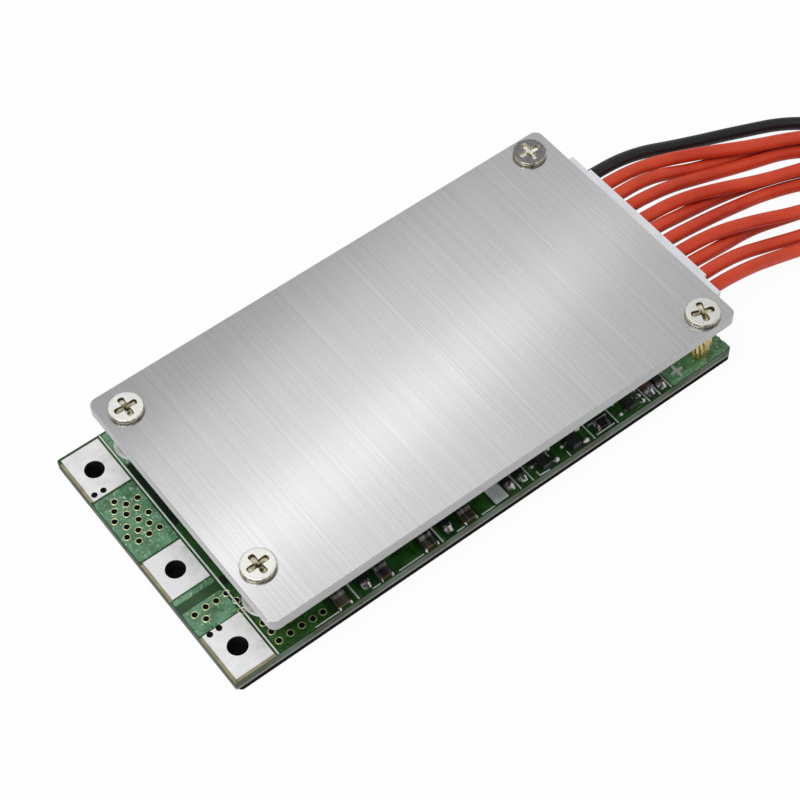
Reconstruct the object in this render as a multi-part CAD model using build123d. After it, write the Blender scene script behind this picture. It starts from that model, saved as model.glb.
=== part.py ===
from build123d import *
import math
import os

# Battery management board: a circuit board with a heat spreader plate screwed over it, three
# terminal pads at one end and a wire harness at the other. Sizes are in millimetres. +X runs from
# the terminal pads to the harness, +Z is up, and the origin is under the middle of the board.

# Pin header and plug: their ways set their width
WAYS = 11
WAY_PITCH = 2.5
HEADER_SHOULDERS = 4.9
HEADER_WIDTH = WAY_PITCH * (WAYS - 1) + HEADER_SHOULDERS
PLUG_SHOULDERS = 5.2
PLUG_REAR_WIDTH = WAY_PITCH * (WAYS - 1) + PLUG_SHOULDERS
CONNECTOR_Y = -0.3
HEADER_HEIGHT = 5.7
HEADER_DEPTH = 9.4
HEADER_FRONT_INSET = 2.55
HEADER_WALL = 0.8
HEADER_BACK = 1.8
HEADER_SLOT = (1.8, 4.2)
HEADER_SLOT_INSET = 4.0
PIN_SIZE = 0.64
PIN_HOLE_RADIUS = 0.5
PIN_BACK_REACH = 1.4
PIN_FRONT_REACH = 5.2
PIN_CLEARANCE = 0.02
PIN_TIP_GAP = 0.1
PLUG_FRONT_CLEARANCE = 0.12
PLUG_REAR_HEIGHT = 5.4
PLUG_REAR_DEPTH = 4.85
PLUG_EAR_SETBACK = 0.45
PLUG_EAR_WIDTH = 3.3
PLUG_FACE_GAP = 0.1
PLUG_INSERTION = 6.0
CAVITY_SIZE = 2.1
CONTACT_SIZE = 1.9
CONTACT_LENGTH = 5.4
CONTACT_SETBACK = 0.6

# Circuit board: wide enough for the header with a screw at each side of it
SCREW_MARGIN = 5.4
BOARD_LENGTH = 80.0
BOARD_WIDTH = HEADER_WIDTH + 2 * SCREW_MARGIN
BOARD_THICKNESS = 1.6
BOARD_CORNER = 0.3
BITE_RADIUS = 0.3
BITE_PITCH = 0.9
BITE_COUNT = 5
BITE_INSET = 5.4

# Insulating sheet and the adhesive film that holds it
SHEET_THICKNESS = 0.8
SHEET_CORNER = 0.6
SHEET_SETBACK = 0.5
SHEET_OVERHANG = 0.2
FILM_THICKNESS = 0.1
FILM_INSET = 0.1

# Terminal pads
PAD_MARGIN = 0.45
PAD_DEPTH = 5.6
PAD_THICKNESS = 0.12
PAD_SPANS = ((12.0, 19.9), (-6.1, 0.6), (-19.9, -12.6))
PAD_HOLE_YS = (16.1, -2.7, -16.3)
PAD_HOLE_RADIUS = 1.35
PAD_HOLE_INSET = 3.15

# Heat spreader plate: it leaves the pads free and stands out a little past the other edges
BOARD_SHIFT = 0.25
PLATE_OVERHANG = 0.05
PLATE_SIDE_OVERHANG = 0.1
PLATE_LENGTH = BOARD_LENGTH - PAD_MARGIN - PAD_DEPTH + PLATE_OVERHANG
PLATE_WIDTH = BOARD_WIDTH + 2 * PLATE_SIDE_OVERHANG
PLATE_THICKNESS = 1.7
PLATE_CORNER = 1.2
PLATE_EDGE_BREAK = 0.15

# Standoffs and cover screws
STANDOFF_HEIGHT = 6.0
STANDOFF_RADIUS = 1.8
KNURL_COUNT = 14
KNURL_DEPTH = 0.18
STUB_RADIUS = 1.2
STUB_LENGTH = 1.4
STUB_CLEARANCE = 0.1
THREAD_RADIUS = 1.25
THREAD_CLEARANCE = 0.03
SCREW_LENGTH = 5.0
PLATE_HOLE_CLEARANCE = 0.15
HEAD_RADIUS = 2.33
HEAD_HEIGHT = 0.65
HEAD_ROUNDING = 0.15
RECESS_SPAN = 2.75
RECESS_WIDTH = 0.8
RECESS_DEPTH = 0.45
RECESS_PIT = (0.62, 0.2, 1.3)
RING_RADIUS = 2.75
RING_HEIGHT = 0.35
RING_CLEARANCE = 0.05
LEFT_SCREW_INSET = 3.45
RIGHT_SCREW_INSET = 3.72
FAR_LEFT_SCREW_INSET = 4.07
FAR_RIGHT_SCREW_INSET = 2.97
NEAR_RIGHT_SCREW_INSET = 2.67
NEAR_LEFT_SCREW_INSET = 7.68

# Power transistors and the thermal pad on them
MOSFET_GAP = 0.4
MOSFET_CHIP_GAP = 0.6
MOSFET_BODY_LENGTH = 8.7
MOSFET_HEIGHT = 4.5
MOSFET_DRAFT = 4.0
MOSFET_COLUMNS = 4
MOSFET_ROW_Y = 2.5
MOSFET_ROW_GAP = 1.0
TAB_THICKNESS = 1.27
TAB_WIDTH = 8.4
TAB_PROUD = 1.3
TAB_UNDER = 6.5
POWER_LEAD_WIDTH = 0.8
POWER_LEAD_THICKNESS = 0.5
POWER_LEAD_LENGTH = 4.8
POWER_LEAD_PITCH = 2.54

# Metal-strip sense resistors
SHUNT_WIDTH = 1.8
SHUNT_LENGTH = 6.4
SHUNT_HEIGHT = 0.9
SHUNT_STRIP = 0.55
SHUNT_FOOT = 1.2
SHUNT_XS = (-23.5, -17.1, -10.1, -3.9)
SHUNT_EDGE_GAP = 0.45

# Chip resistors and capacitors: length, width and height
CHIP = (2.0, 1.25, 0.55)
CAPACITOR = (2.0, 1.25, 1.0)
CAP_LENGTH = 0.4
EDGE_RESISTORS = ((-19.8, -18.1, 90), (-6.9, -18.0, 90), (3.1, -18.0, 90), (5.15, -18.0, 90),
                  (18.4, -19.0, 0), (28.5, -18.1, 90))
EDGE_CAPACITORS = ((26.6, -18.0, 90),)
INNER_CAPACITOR_OFFSETS = (-1.3, 1.5)
INNER_CAPACITOR_Y = 14.6

# Small transistors: body length, width and height
SMALL_BODY = (2.9, 1.3, 1.0)
SMALL_DRAFT = 6.0
SMALL_LEAD_REACH = 0.55
SMALL_LEAD_WIDTH = 0.4
SMALL_LEAD_THICKNESS = 0.13
SMALL_LEAD_PITCH = 0.95
EDGE_TRANSISTORS = ((8.6, -18.5, 90), (13.6, -18.5, 90))
REGULATOR_PLACE = (23.1, -18.4, 90)

# Chips: body length, width and height
CHIP_BODY = (9.9, 3.9, 1.5)
CHIP_LEAD_REACH = 1.05
CHIP_LEAD_WIDTH = 0.42
CHIP_LEAD_THICKNESS = 0.22
CHIP_LEAD_PITCH = 1.27
PROTECTION_CHIP_Y = -6.0
PROTECTION_CHIP_PAIRS = 8
DRIVER_CHIP_Y = 6.6
DRIVER_CHIP_PAIRS = 4
DRIVER_BODY_LENGTH = 4.9
LEAD_SLACK = 0.02

# Balancing resistors and transistors, one of each for each cell
BALANCE_COUNT = 10
BALANCE_PITCH = 2.8
BALANCE_GAP = 0.35
BALANCE_HEADER_GAP = 0.75

# Harness: eleven wires, each routed by hand until it enters the coil
WIRE_RADIUS = 0.95
ROUTES = (
    ((43.2, 12.2, 5.3), (50.6, 12.3, 4.3), (58.7, 11.2, 1.8), (66.8, 8.9, 0.97),
     (75.2, 4.9, 0.97), (81.9, -3.0, 0.97), (86.4, -10.1, 0.97), (90.9, -14.6, 0.97)),
    ((43.2, 9.7, 5.3), (50.4, 9.7, 4.4), (57.8, 8.0, 3.2), (64.9, 4.7, 2.95),
     (72.1, 1.1, 2.95), (79.2, -4.0, 3.5), (85.6, -9.3, 4.5), (90.9, -14.6, 4.6)),
    ((43.2, 7.2, 5.3), (50.2, 7.3, 4.3), (57.3, 6.2, 2.0), (64.4, 4.4, 0.97),
     (71.4, 2.4, 0.97), (78.2, -2.6, 1.35), (84.6, -9.9, 2.6), (90.7, -16.1, 2.8)),
    ((43.2, 4.7, 5.3), (50.2, 4.4, 4.3), (57.1, 3.7, 2.0), (64.2, 2.2, 0.97),
     (71.2, 0.3, 0.97), (77.9, -5.4, 0.97), (84.5, -11.3, 0.97), (90.6, -17.4, 0.97)),
    ((43.2, 2.2, 5.3), (49.7, 1.9, 4.9), (56.2, 0.4, 3.7), (62.6, -1.8, 2.8),
     (69.2, -4.0, 2.9), (77.2, -7.2, 3.5), (84.7, -11.5, 4.4), (90.6, -17.4, 4.6)),
    ((43.2, -0.3, 5.3), (49.8, -0.4, 3.8), (56.3, -0.3, 1.6), (62.8, -1.0, 0.97),
     (69.8, -3.0, 0.97), (77.4, -8.1, 1.5), (84.5, -12.9, 2.6), (90.5, -18.9, 2.8)),
    ((43.2, -2.8, 5.3), (49.8, -2.8, 4.2), (56.2, -2.6, 2.1), (62.5, -3.3, 0.97),
     (69.2, -5.6, 0.97), (77.0, -10.5, 0.97), (84.7, -14.4, 0.97), (90.6, -20.3, 0.97)),
    ((43.2, -5.3, 5.3), (49.7, -5.4, 4.8), (56.0, -6.6, 3.8), (62.2, -9.0, 2.95),
     (69.2, -11.1, 2.95), (76.9, -12.2, 3.5), (84.9, -14.6, 4.4), (90.6, -20.3, 4.6)),
    ((43.2, -7.8, 5.3), (49.8, -7.7, 3.9), (56.0, -7.4, 1.75), (62.2, -7.9, 0.97),
     (68.8, -9.7, 0.97), (76.7, -13.0, 1.5), (84.8, -15.9, 2.6), (90.8, -21.9, 2.8)),
    ((43.2, -10.3, 5.3), (49.6, -10.5, 4.4), (55.8, -10.9, 2.2), (62.1, -11.9, 0.97),
     (68.6, -13.3, 0.97), (76.6, -15.7, 0.97), (85.1, -17.5, 0.97), (91.1, -23.5, 0.97)),
    ((43.2, -12.8, 5.3), (49.5, -13.0, 4.4), (55.6, -13.3, 2.2), (61.8, -14.1, 0.97),
     (68.4, -15.6, 1.2), (76.6, -17.4, 2.8), (85.1, -17.5, 4.4), (91.1, -23.5, 4.6)),
)
COIL_CENTRE = (108.6, -18.3)
COIL_OUTER = 17.4
COIL_INNER = 9.0
COIL_TOP = 11.2
COIL_EDGE = 1.5
TIE_ANGLE = 250.0
TIE_WIDTH = 2.6
TIE_THICKNESS = 0.5
TIE_REACH = (3.85, 5.2)
TIE_LEVEL = 5.8
TIE_CLEARANCE = 0.1
TIE_HEAD = (3.8, 3.2, 2.4)

# Levels and edges worked out from the sizes above
BOARD_LEFT = -BOARD_LENGTH / 2 - BOARD_SHIFT
BOARD_RIGHT = BOARD_LEFT + BOARD_LENGTH
BOARD_NEAR = -BOARD_WIDTH / 2
BOARD_BOTTOM = SHEET_THICKNESS + FILM_THICKNESS
BOARD_TOP = BOARD_BOTTOM + BOARD_THICKNESS
PLATE_RIGHT = BOARD_RIGHT + PLATE_OVERHANG
PLATE_LEFT = PLATE_RIGHT - PLATE_LENGTH
PLATE_BOTTOM = BOARD_TOP + STANDOFF_HEIGHT
PLATE_TOP = PLATE_BOTTOM + PLATE_THICKNESS
PAD_HOLE_X = BOARD_LEFT + PAD_HOLE_INSET
SCREW_PLACES = (
    (PLATE_LEFT + LEFT_SCREW_INSET, PLATE_WIDTH / 2 - FAR_LEFT_SCREW_INSET),
    (PLATE_RIGHT - RIGHT_SCREW_INSET, PLATE_WIDTH / 2 - FAR_RIGHT_SCREW_INSET),
    (PLATE_RIGHT - RIGHT_SCREW_INSET, NEAR_RIGHT_SCREW_INSET - PLATE_WIDTH / 2),
    (PLATE_LEFT + LEFT_SCREW_INSET, NEAR_LEFT_SCREW_INSET - PLATE_WIDTH / 2),
)
HEADER_FRONT = BOARD_RIGHT - HEADER_FRONT_INSET
HEADER_REAR = HEADER_FRONT - HEADER_DEPTH
CONNECTOR_Z = BOARD_TOP + HEADER_HEIGHT / 2
PIN_DROP_X = HEADER_REAR - PIN_BACK_REACH
PLUG_FRONT = HEADER_FRONT - PLUG_INSERTION
PLUG_REAR = HEADER_FRONT + PLUG_FACE_GAP + PLUG_REAR_DEPTH
CONTACT_FRONT = PLUG_FRONT + CONTACT_SETBACK
WIRE_START = CONTACT_FRONT + CONTACT_LENGTH
BALANCE_TRANSISTOR_X = PIN_DROP_X - PIN_HOLE_RADIUS - BALANCE_HEADER_GAP - SMALL_BODY[0] / 2
BALANCE_RESISTOR_X = BALANCE_TRANSISTOR_X - SMALL_BODY[0] / 2 - BALANCE_GAP - CHIP[0] / 2
CHIP_REACH = CHIP_BODY[1] / 2 + LEAD_SLACK + CHIP_LEAD_REACH
CHIP_X = BALANCE_RESISTOR_X - CHIP[0] / 2 - BALANCE_GAP - CHIP_REACH
PROTECTION_CHIP_PLACE = (CHIP_X, PROTECTION_CHIP_Y, 90)
DRIVER_CHIP_PLACE = (CHIP_X, DRIVER_CHIP_Y, 90)
INNER_CAPACITORS = tuple((CHIP_X + offset, INNER_CAPACITOR_Y, 90) for offset in INNER_CAPACITOR_OFFSETS)
MOSFET_LEFT = PLATE_LEFT + LEFT_SCREW_INSET + STANDOFF_RADIUS
MOSFET_RIGHT = CHIP_X - CHIP_REACH - MOSFET_CHIP_GAP
MOSFET_PITCH = (MOSFET_RIGHT - MOSFET_LEFT + MOSFET_GAP) / MOSFET_COLUMNS
MOSFET_WIDTH = MOSFET_PITCH - MOSFET_GAP
MOSFET_FIRST_X = MOSFET_LEFT + MOSFET_WIDTH / 2
WAY_YS = [CONNECTOR_Y + WAY_PITCH * ((WAYS - 1) / 2 - i) for i in range(WAYS)]
BALANCE_YS = [CONNECTOR_Y + BALANCE_PITCH * ((BALANCE_COUNT - 1) / 2 - i) for i in range(BALANCE_COUNT)]


def block(x0, x1, y0, y1, z0, z1):
    """A box between two opposite corners."""
    return Pos((x0 + x1) / 2, (y0 + y1) / 2, (z0 + z1) / 2) * Box(x1 - x0, y1 - y0, z1 - z0)


def disc(x, y, radius):
    """A round hole in a flat outline."""
    return Pos(x, y) * Circle(radius)


def slab(outline, bottom, thickness):
    """A flat outline, given its thickness."""
    return Pos(0, 0, bottom) * extrude(outline, amount=thickness)


def base_outline(left, right, half_width, corner):
    """A rounded outline of the board's kind, between two ends along its length."""
    return Pos((left + right) / 2, 0) * RectangleRounded(right - left, 2 * half_width, corner)


def placed(solid, place):
    """A component built at the origin, turned and set down on the board."""
    x, y, angle = place
    return Pos(x, y, BOARD_TOP) * Rot(0, 0, angle) * solid


def circuit_board():
    """The board, with its pad holes, standoff holes, pin holes and the bites of a break-off tab."""
    outline = base_outline(BOARD_LEFT, BOARD_RIGHT, BOARD_WIDTH / 2, BOARD_CORNER)
    for y in PAD_HOLE_YS:
        outline -= disc(PAD_HOLE_X, y, PAD_HOLE_RADIUS)
    for x, y in SCREW_PLACES:
        outline -= disc(x, y, STUB_RADIUS + STUB_CLEARANCE)
    for y in WAY_YS:
        outline -= disc(PIN_DROP_X, y, PIN_HOLE_RADIUS)
    for i in range(BITE_COUNT):
        outline -= disc(BOARD_RIGHT, BOARD_NEAR + BITE_INSET - i * BITE_PITCH, BITE_RADIUS)
    return slab(outline, BOARD_BOTTOM, BOARD_THICKNESS)


def terminal_pad(span, hole_y):
    """A tinned pad close to the board's end, with its hole."""
    low, high = span
    outline = Pos(BOARD_LEFT + PAD_MARGIN + PAD_DEPTH / 2, (low + high) / 2) * Rectangle(PAD_DEPTH, high - low)
    return slab(outline - disc(PAD_HOLE_X, hole_y, PAD_HOLE_RADIUS), BOARD_TOP, PAD_THICKNESS)


def adhesive_film():
    """The film between the board and the sheet, open under the pad holes."""
    outline = base_outline(BOARD_LEFT + SHEET_SETBACK + FILM_INSET, BOARD_RIGHT - FILM_INSET,
                           BOARD_WIDTH / 2 - FILM_INSET, BOARD_CORNER)
    for y in PAD_HOLE_YS:
        outline -= disc(PAD_HOLE_X, y, PAD_HOLE_RADIUS)
    return slab(outline, SHEET_THICKNESS, FILM_THICKNESS)


def insulating_sheet():
    """The black sheet that the board stands on, set back at the pads' end."""
    outline = base_outline(BOARD_LEFT + SHEET_SETBACK, BOARD_RIGHT + SHEET_OVERHANG, BOARD_WIDTH / 2, SHEET_CORNER)
    return slab(outline, 0, SHEET_THICKNESS)


def heat_spreader_plate():
    """The plate over the board, with screw holes and broken edges."""
    outline = Pos((PLATE_LEFT + PLATE_RIGHT) / 2, 0) * RectangleRounded(PLATE_LENGTH, PLATE_WIDTH, PLATE_CORNER)
    for x, y in SCREW_PLACES:
        outline -= disc(x, y, THREAD_RADIUS + PLATE_HOLE_CLEARANCE)
    plate = slab(outline, PLATE_BOTTOM, PLATE_THICKNESS)
    rims = plate.faces().sort_by(Axis.Z)[-1].outer_wire().edges()
    return chamfer(rims, PLATE_EDGE_BREAK)


def cross_recess():
    """The cross cut into a screw head and the pit at its middle, pointing down from the top of the head."""
    bars = Rectangle(RECESS_SPAN, RECESS_WIDTH) + Rectangle(RECESS_WIDTH, RECESS_SPAN)
    wide, narrow, depth = RECESS_PIT
    return extrude(bars, amount=-RECESS_DEPTH, taper=25) + Pos(0, 0, -depth / 2) * Cone(narrow, wide, depth)


def cover_screw(x, y):
    """A screw with a low rounded head, a cross recess and a plain shank for its thread."""
    head = fillet(Cylinder(HEAD_RADIUS, HEAD_HEIGHT).edges().group_by(Axis.Z)[-1], HEAD_ROUNDING)
    head = Pos(0, 0, HEAD_HEIGHT / 2) * head - Pos(0, 0, HEAD_HEIGHT) * cross_recess()
    shank = Pos(0, 0, -SCREW_LENGTH / 2) * Cylinder(THREAD_RADIUS, SCREW_LENGTH)
    return Pos(x, y, PLATE_TOP) * (head + shank)


def standoff(x, y):
    """A knurled standoff, bored for the screw, with a stub that is soldered into the board."""
    teeth = []
    for i in range(2 * KNURL_COUNT):
        radius = STANDOFF_RADIUS - (KNURL_DEPTH if i % 2 else 0)
        angle = math.pi * i / KNURL_COUNT
        teeth.append((radius * math.cos(angle), radius * math.sin(angle)))
    section = make_face(Polyline(*teeth, close=True))
    body = extrude(section, amount=STANDOFF_HEIGHT)
    stub = Pos(0, 0, -STUB_LENGTH / 2) * Cylinder(STUB_RADIUS, STUB_LENGTH)
    bore_depth = SCREW_LENGTH - PLATE_THICKNESS + 1
    bore = Pos(0, 0, STANDOFF_HEIGHT - bore_depth / 2) * Cylinder(THREAD_RADIUS + THREAD_CLEARANCE, bore_depth)
    return Pos(x, y, BOARD_TOP) * (body + stub - bore)


def solder_ring(x, y):
    """The ring of solder round a standoff's foot, sloping up to it."""
    inner = STANDOFF_RADIUS + RING_CLEARANCE
    slope = Polyline((inner, 0), (RING_RADIUS, 0), (RING_RADIUS, RING_HEIGHT / 3), (inner, RING_HEIGHT), close=True)
    return Pos(x, y, BOARD_TOP) * revolve(make_face(Plane.XZ * slope), Axis.Z)


def gull_lead(start, reach, exit_height, thickness, width):
    """A lead that leaves a body along +Y, steps down and ends in a flat foot on the board."""
    bend = start + 0.3 * reach
    foot = start + 0.55 * reach
    top = exit_height + thickness
    profile = Polyline(
        (start, exit_height), (bend - 0.3 * thickness, exit_height), (foot - 0.5 * thickness, 0),
        (start + reach, 0), (start + reach, thickness), (foot, thickness), (bend, top), (start, top), close=True,
    )
    return Pos(width / 2, 0, 0) * extrude(make_face(Plane.YZ * profile), amount=-width)


def moulded_body(length, width, height, draft):
    """A moulded package with drafted sides, narrower at the top."""
    return extrude(Rectangle(length, width), amount=height, taper=draft)


def mosfet_tab():
    """The metal tab of a power transistor: proud of the body at y = 0 and set into its underside."""
    return block(-TAB_WIDTH / 2, TAB_WIDTH / 2, 0, TAB_PROUD + TAB_UNDER, 0, TAB_THICKNESS)


def mosfet_body():
    """The moulded body of a power transistor, with the pocket that holds its tab."""
    body = Pos(0, TAB_PROUD + MOSFET_BODY_LENGTH / 2, 0) * moulded_body(
        MOSFET_WIDTH, MOSFET_BODY_LENGTH, MOSFET_HEIGHT, MOSFET_DRAFT)
    return body - mosfet_tab()


def mosfet_metal():
    """A power transistor's tab and its two leads."""
    draft_in = 2 * POWER_LEAD_THICKNESS * math.tan(math.radians(MOSFET_DRAFT)) + LEAD_SLACK
    body_end = TAB_PROUD + MOSFET_BODY_LENGTH
    lead = gull_lead(body_end - draft_in / 2 + LEAD_SLACK, POWER_LEAD_LENGTH, 3 * POWER_LEAD_THICKNESS,
                     POWER_LEAD_THICKNESS, POWER_LEAD_WIDTH)
    return [mosfet_tab()] + [Pos(side * POWER_LEAD_PITCH, 0, 0) * lead for side in (-1, 1)]


def mosfet_places():
    """Two rows with their tabs back to back: the first row's leads point to -Y, the second row's to +Y."""
    near = [(MOSFET_FIRST_X + i * MOSFET_PITCH, MOSFET_ROW_Y, 180) for i in range(MOSFET_COLUMNS)]
    return near + [(x, MOSFET_ROW_Y + MOSFET_ROW_GAP, 0) for x, _, _ in near]


def thermal_pad():
    """The soft pad that fills the space between the power transistors and the plate."""
    reach_x = MOSFET_WIDTH / 2 - MOSFET_HEIGHT * math.tan(math.radians(MOSFET_DRAFT))
    last_x = MOSFET_FIRST_X + (MOSFET_COLUMNS - 1) * MOSFET_PITCH
    near_y = MOSFET_ROW_Y - TAB_PROUD - MOSFET_BODY_LENGTH + 0.5
    far_y = MOSFET_ROW_Y + MOSFET_ROW_GAP + TAB_PROUD + MOSFET_BODY_LENGTH - 0.5
    return block(MOSFET_FIRST_X - reach_x, last_x + reach_x, near_y, far_y,
                 BOARD_TOP + MOSFET_HEIGHT, PLATE_BOTTOM)


def sense_resistor(x):
    """A metal strip that stands on two feet, one of them at the board's near edge."""
    low = BOARD_NEAR + SHUNT_EDGE_GAP
    high = low + SHUNT_LENGTH
    step = SHUNT_HEIGHT - SHUNT_STRIP
    profile = Polyline(
        (low, 0), (low + SHUNT_FOOT, 0), (low + SHUNT_FOOT + step, step), (high - SHUNT_FOOT - step, step),
        (high - SHUNT_FOOT, 0), (high, 0), (high, SHUNT_STRIP), (high - SHUNT_FOOT, SHUNT_STRIP),
        (high - SHUNT_FOOT - step, SHUNT_HEIGHT), (low + SHUNT_FOOT + step, SHUNT_HEIGHT),
        (low + SHUNT_FOOT, SHUNT_STRIP), (low, SHUNT_STRIP), close=True,
    )
    strip = extrude(make_face(Plane.YZ * profile), amount=-SHUNT_WIDTH)
    return Pos(x + SHUNT_WIDTH / 2, 0, BOARD_TOP) * strip


def chip_core(size):
    """The body of a chip resistor or capacitor, between its end caps."""
    length, width, height = size
    reach = length / 2 - CAP_LENGTH
    return block(-reach, reach, -width / 2, width / 2, 0, height)


def chip_caps(size):
    """The two tinned end caps of a chip resistor or capacitor."""
    length, width, height = size
    reach = length / 2
    cap = block(reach - CAP_LENGTH, reach, -width / 2, width / 2, 0, height)
    return [cap, Rot(0, 0, 180) * cap]


def small_leads(offsets):
    """Leads of a small transistor, at the given offsets along its two long sides."""
    start = SMALL_BODY[1] / 2 - 0.45 * SMALL_BODY[2] * math.tan(math.radians(SMALL_DRAFT)) + LEAD_SLACK
    lead = gull_lead(start, SMALL_LEAD_REACH, 0.45 * SMALL_BODY[2], SMALL_LEAD_THICKNESS, SMALL_LEAD_WIDTH)
    front, back = offsets
    return [Pos(x, 0, 0) * lead for x in front] + [Rot(0, 0, 180) * Pos(x, 0, 0) * lead for x in back]


def small_body():
    """The moulded body of a small transistor, a little clear of the board."""
    length, width, height = SMALL_BODY
    return Pos(0, 0, LEAD_SLACK) * moulded_body(length, width, height, SMALL_DRAFT)


def chip_leads(pairs):
    """Both rows of leads of a chip."""
    start = CHIP_BODY[1] / 2 + LEAD_SLACK
    lead = gull_lead(start, CHIP_LEAD_REACH, 0.4 * CHIP_BODY[2], CHIP_LEAD_THICKNESS, CHIP_LEAD_WIDTH)
    row = [Pos(CHIP_LEAD_PITCH * (i - (pairs - 1) / 2), 0, 0) * lead for i in range(pairs)]
    return row + [Rot(0, 0, 180) * solid for solid in row]


def chip_body(length):
    """The moulded body of a chip, a little clear of the board."""
    return Pos(0, 0, LEAD_SLACK) * block(-length / 2, length / 2, -CHIP_BODY[1] / 2, CHIP_BODY[1] / 2, 0, CHIP_BODY[2])


def header_housing():
    """The side-entry shroud: open towards +X, with pin holes in its back wall and two slots in its roof."""
    half = HEADER_WIDTH / 2
    roof = BOARD_TOP + HEADER_HEIGHT
    shell = block(HEADER_REAR, HEADER_FRONT, CONNECTOR_Y - half, CONNECTOR_Y + half, BOARD_TOP, roof)
    shell -= block(HEADER_REAR + HEADER_BACK, HEADER_FRONT, CONNECTOR_Y - half + HEADER_WALL,
                   CONNECTOR_Y + half - HEADER_WALL, BOARD_TOP + HEADER_WALL, roof - HEADER_WALL)
    slot_width, slot_depth = HEADER_SLOT
    for side in (-1, 1):
        y = CONNECTOR_Y + side * (half - HEADER_SLOT_INSET)
        shell -= block(HEADER_FRONT - slot_depth, HEADER_FRONT, y - slot_width / 2, y + slot_width / 2,
                       roof - HEADER_WALL, roof)
    hole = PIN_SIZE / 2 + PIN_CLEARANCE
    for y in WAY_YS:
        shell -= block(HEADER_REAR, HEADER_REAR + HEADER_BACK, y - hole, y + hole, CONNECTOR_Z - hole, CONNECTOR_Z + hole)
    return shell


def header_pin(y):
    """A square pin: it points out of the shroud's back wall and turns down into the board."""
    half = PIN_SIZE / 2
    tip = HEADER_REAR + HEADER_BACK + PIN_FRONT_REACH
    foot = BOARD_BOTTOM + PIN_TIP_GAP
    drop = block(PIN_DROP_X - half, PIN_DROP_X + half, y - half, y + half, foot, CONNECTOR_Z + half)
    return drop + block(PIN_DROP_X - half, tip, y - half, y + half, CONNECTOR_Z - half, CONNECTOR_Z + half)


def plug_housing():
    """The plug: a stepped body whose cavities run right through it, one for each contact and wire."""
    nose_half_y = HEADER_WIDTH / 2 - HEADER_WALL - PLUG_FRONT_CLEARANCE
    nose_half_z = HEADER_HEIGHT / 2 - HEADER_WALL - PLUG_FRONT_CLEARANCE
    flange_front = HEADER_FRONT + PLUG_FACE_GAP
    plug = block(PLUG_FRONT, flange_front, CONNECTOR_Y - nose_half_y, CONNECTOR_Y + nose_half_y,
                 CONNECTOR_Z - nose_half_z, CONNECTOR_Z + nose_half_z)
    for rear, half_y in ((PLUG_REAR, PLUG_REAR_WIDTH / 2 - PLUG_EAR_WIDTH), (PLUG_REAR - PLUG_EAR_SETBACK, PLUG_REAR_WIDTH / 2)):
        plug += block(flange_front, rear, CONNECTOR_Y - half_y, CONNECTOR_Y + half_y,
                      CONNECTOR_Z - PLUG_REAR_HEIGHT / 2, CONNECTOR_Z + PLUG_REAR_HEIGHT / 2)
    half = CAVITY_SIZE / 2
    for y in WAY_YS:
        plug -= block(PLUG_FRONT, PLUG_REAR, y - half, y + half, CONNECTOR_Z - half, CONNECTOR_Z + half)
    return plug


def crimp_contact(y):
    """A box contact round its pin, closed at the back where the wire is crimped to it."""
    half = CONTACT_SIZE / 2
    bore = PIN_SIZE / 2 + PIN_CLEARANCE
    pin_tip = HEADER_REAR + HEADER_BACK + PIN_FRONT_REACH
    contact = block(CONTACT_FRONT, WIRE_START, y - half, y + half, CONNECTOR_Z - half, CONNECTOR_Z + half)
    return contact - block(CONTACT_FRONT, pin_tip + PIN_TIP_GAP, y - bore, y + bore, CONNECTOR_Z - bore, CONNECTOR_Z + bore)


def wire(way):
    """One wire, from its contact to the coil: straight runs joined by tangent arcs."""
    points = [Vector(WIRE_START, WAY_YS[way], CONNECTOR_Z)] + [Vector(*point) for point in ROUTES[way]]
    runs = [b - a for a, b in zip(points, points[1:])]
    radii = []
    for before, after in zip(runs, runs[1:]):
        half_turn = math.radians(before.get_angle(after)) / 2
        radii.append(0.45 * min(before.length, after.length) / math.tan(half_turn))
    path = FilletPolyline(*points, radius=radii)
    start = Plane(origin=points[0], z_dir=runs[0])
    tube = sweep(start * Circle(WIRE_RADIUS), path=path)
    area = math.pi * WIRE_RADIUS ** 2
    print(f"wire {way}: path {path.length:.1f} mm, smallest radius {min(radii):.1f} mm,",
          f"volume {tube.volume:.1f} against {area * path.length:.1f} mm3")
    return tube


def coil_frame():
    """A frame on the coil's ring at the tie: x outwards, y along the turns, z up."""
    x, y = COIL_CENTRE
    return Pos(x, y, 0) * Rot(0, 0, TIE_ANGLE) * Pos((COIL_OUTER + COIL_INNER) / 2, 0, TIE_LEVEL)


def tie_core(margin, width):
    """A block across the coil's section at the tie, larger than the space in the band by a margin."""
    reach_x, reach_z = TIE_REACH
    return Box(2 * (reach_x + margin), width, 2 * (reach_z + margin))


def wire_coil():
    """The outer shape of the coiled harness, drawn in where the tie holds it."""
    radius = (COIL_OUTER + COIL_INNER) / 2
    half = (COIL_OUTER - COIL_INNER) / 2
    edge = half - COIL_EDGE
    outline = Polyline(
        (radius - edge, 0), (radius + edge, 0), (radius + half, COIL_EDGE), (radius + half, COIL_TOP - COIL_EDGE),
        (radius + edge, COIL_TOP), (radius - edge, COIL_TOP), (radius - half, COIL_TOP - COIL_EDGE),
        (radius - half, COIL_EDGE), close=True,
    )
    ring = Pos(*COIL_CENTRE, 0) * revolve(make_face(Plane.XZ * outline), Axis.Z)
    notch_width = TIE_WIDTH + 2 * TIE_CLEARANCE
    notch = Box(2 * half + 2, notch_width, 2 * COIL_TOP) - tie_core(-TIE_CLEARANCE, notch_width)
    return ring - coil_frame() * notch


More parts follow.
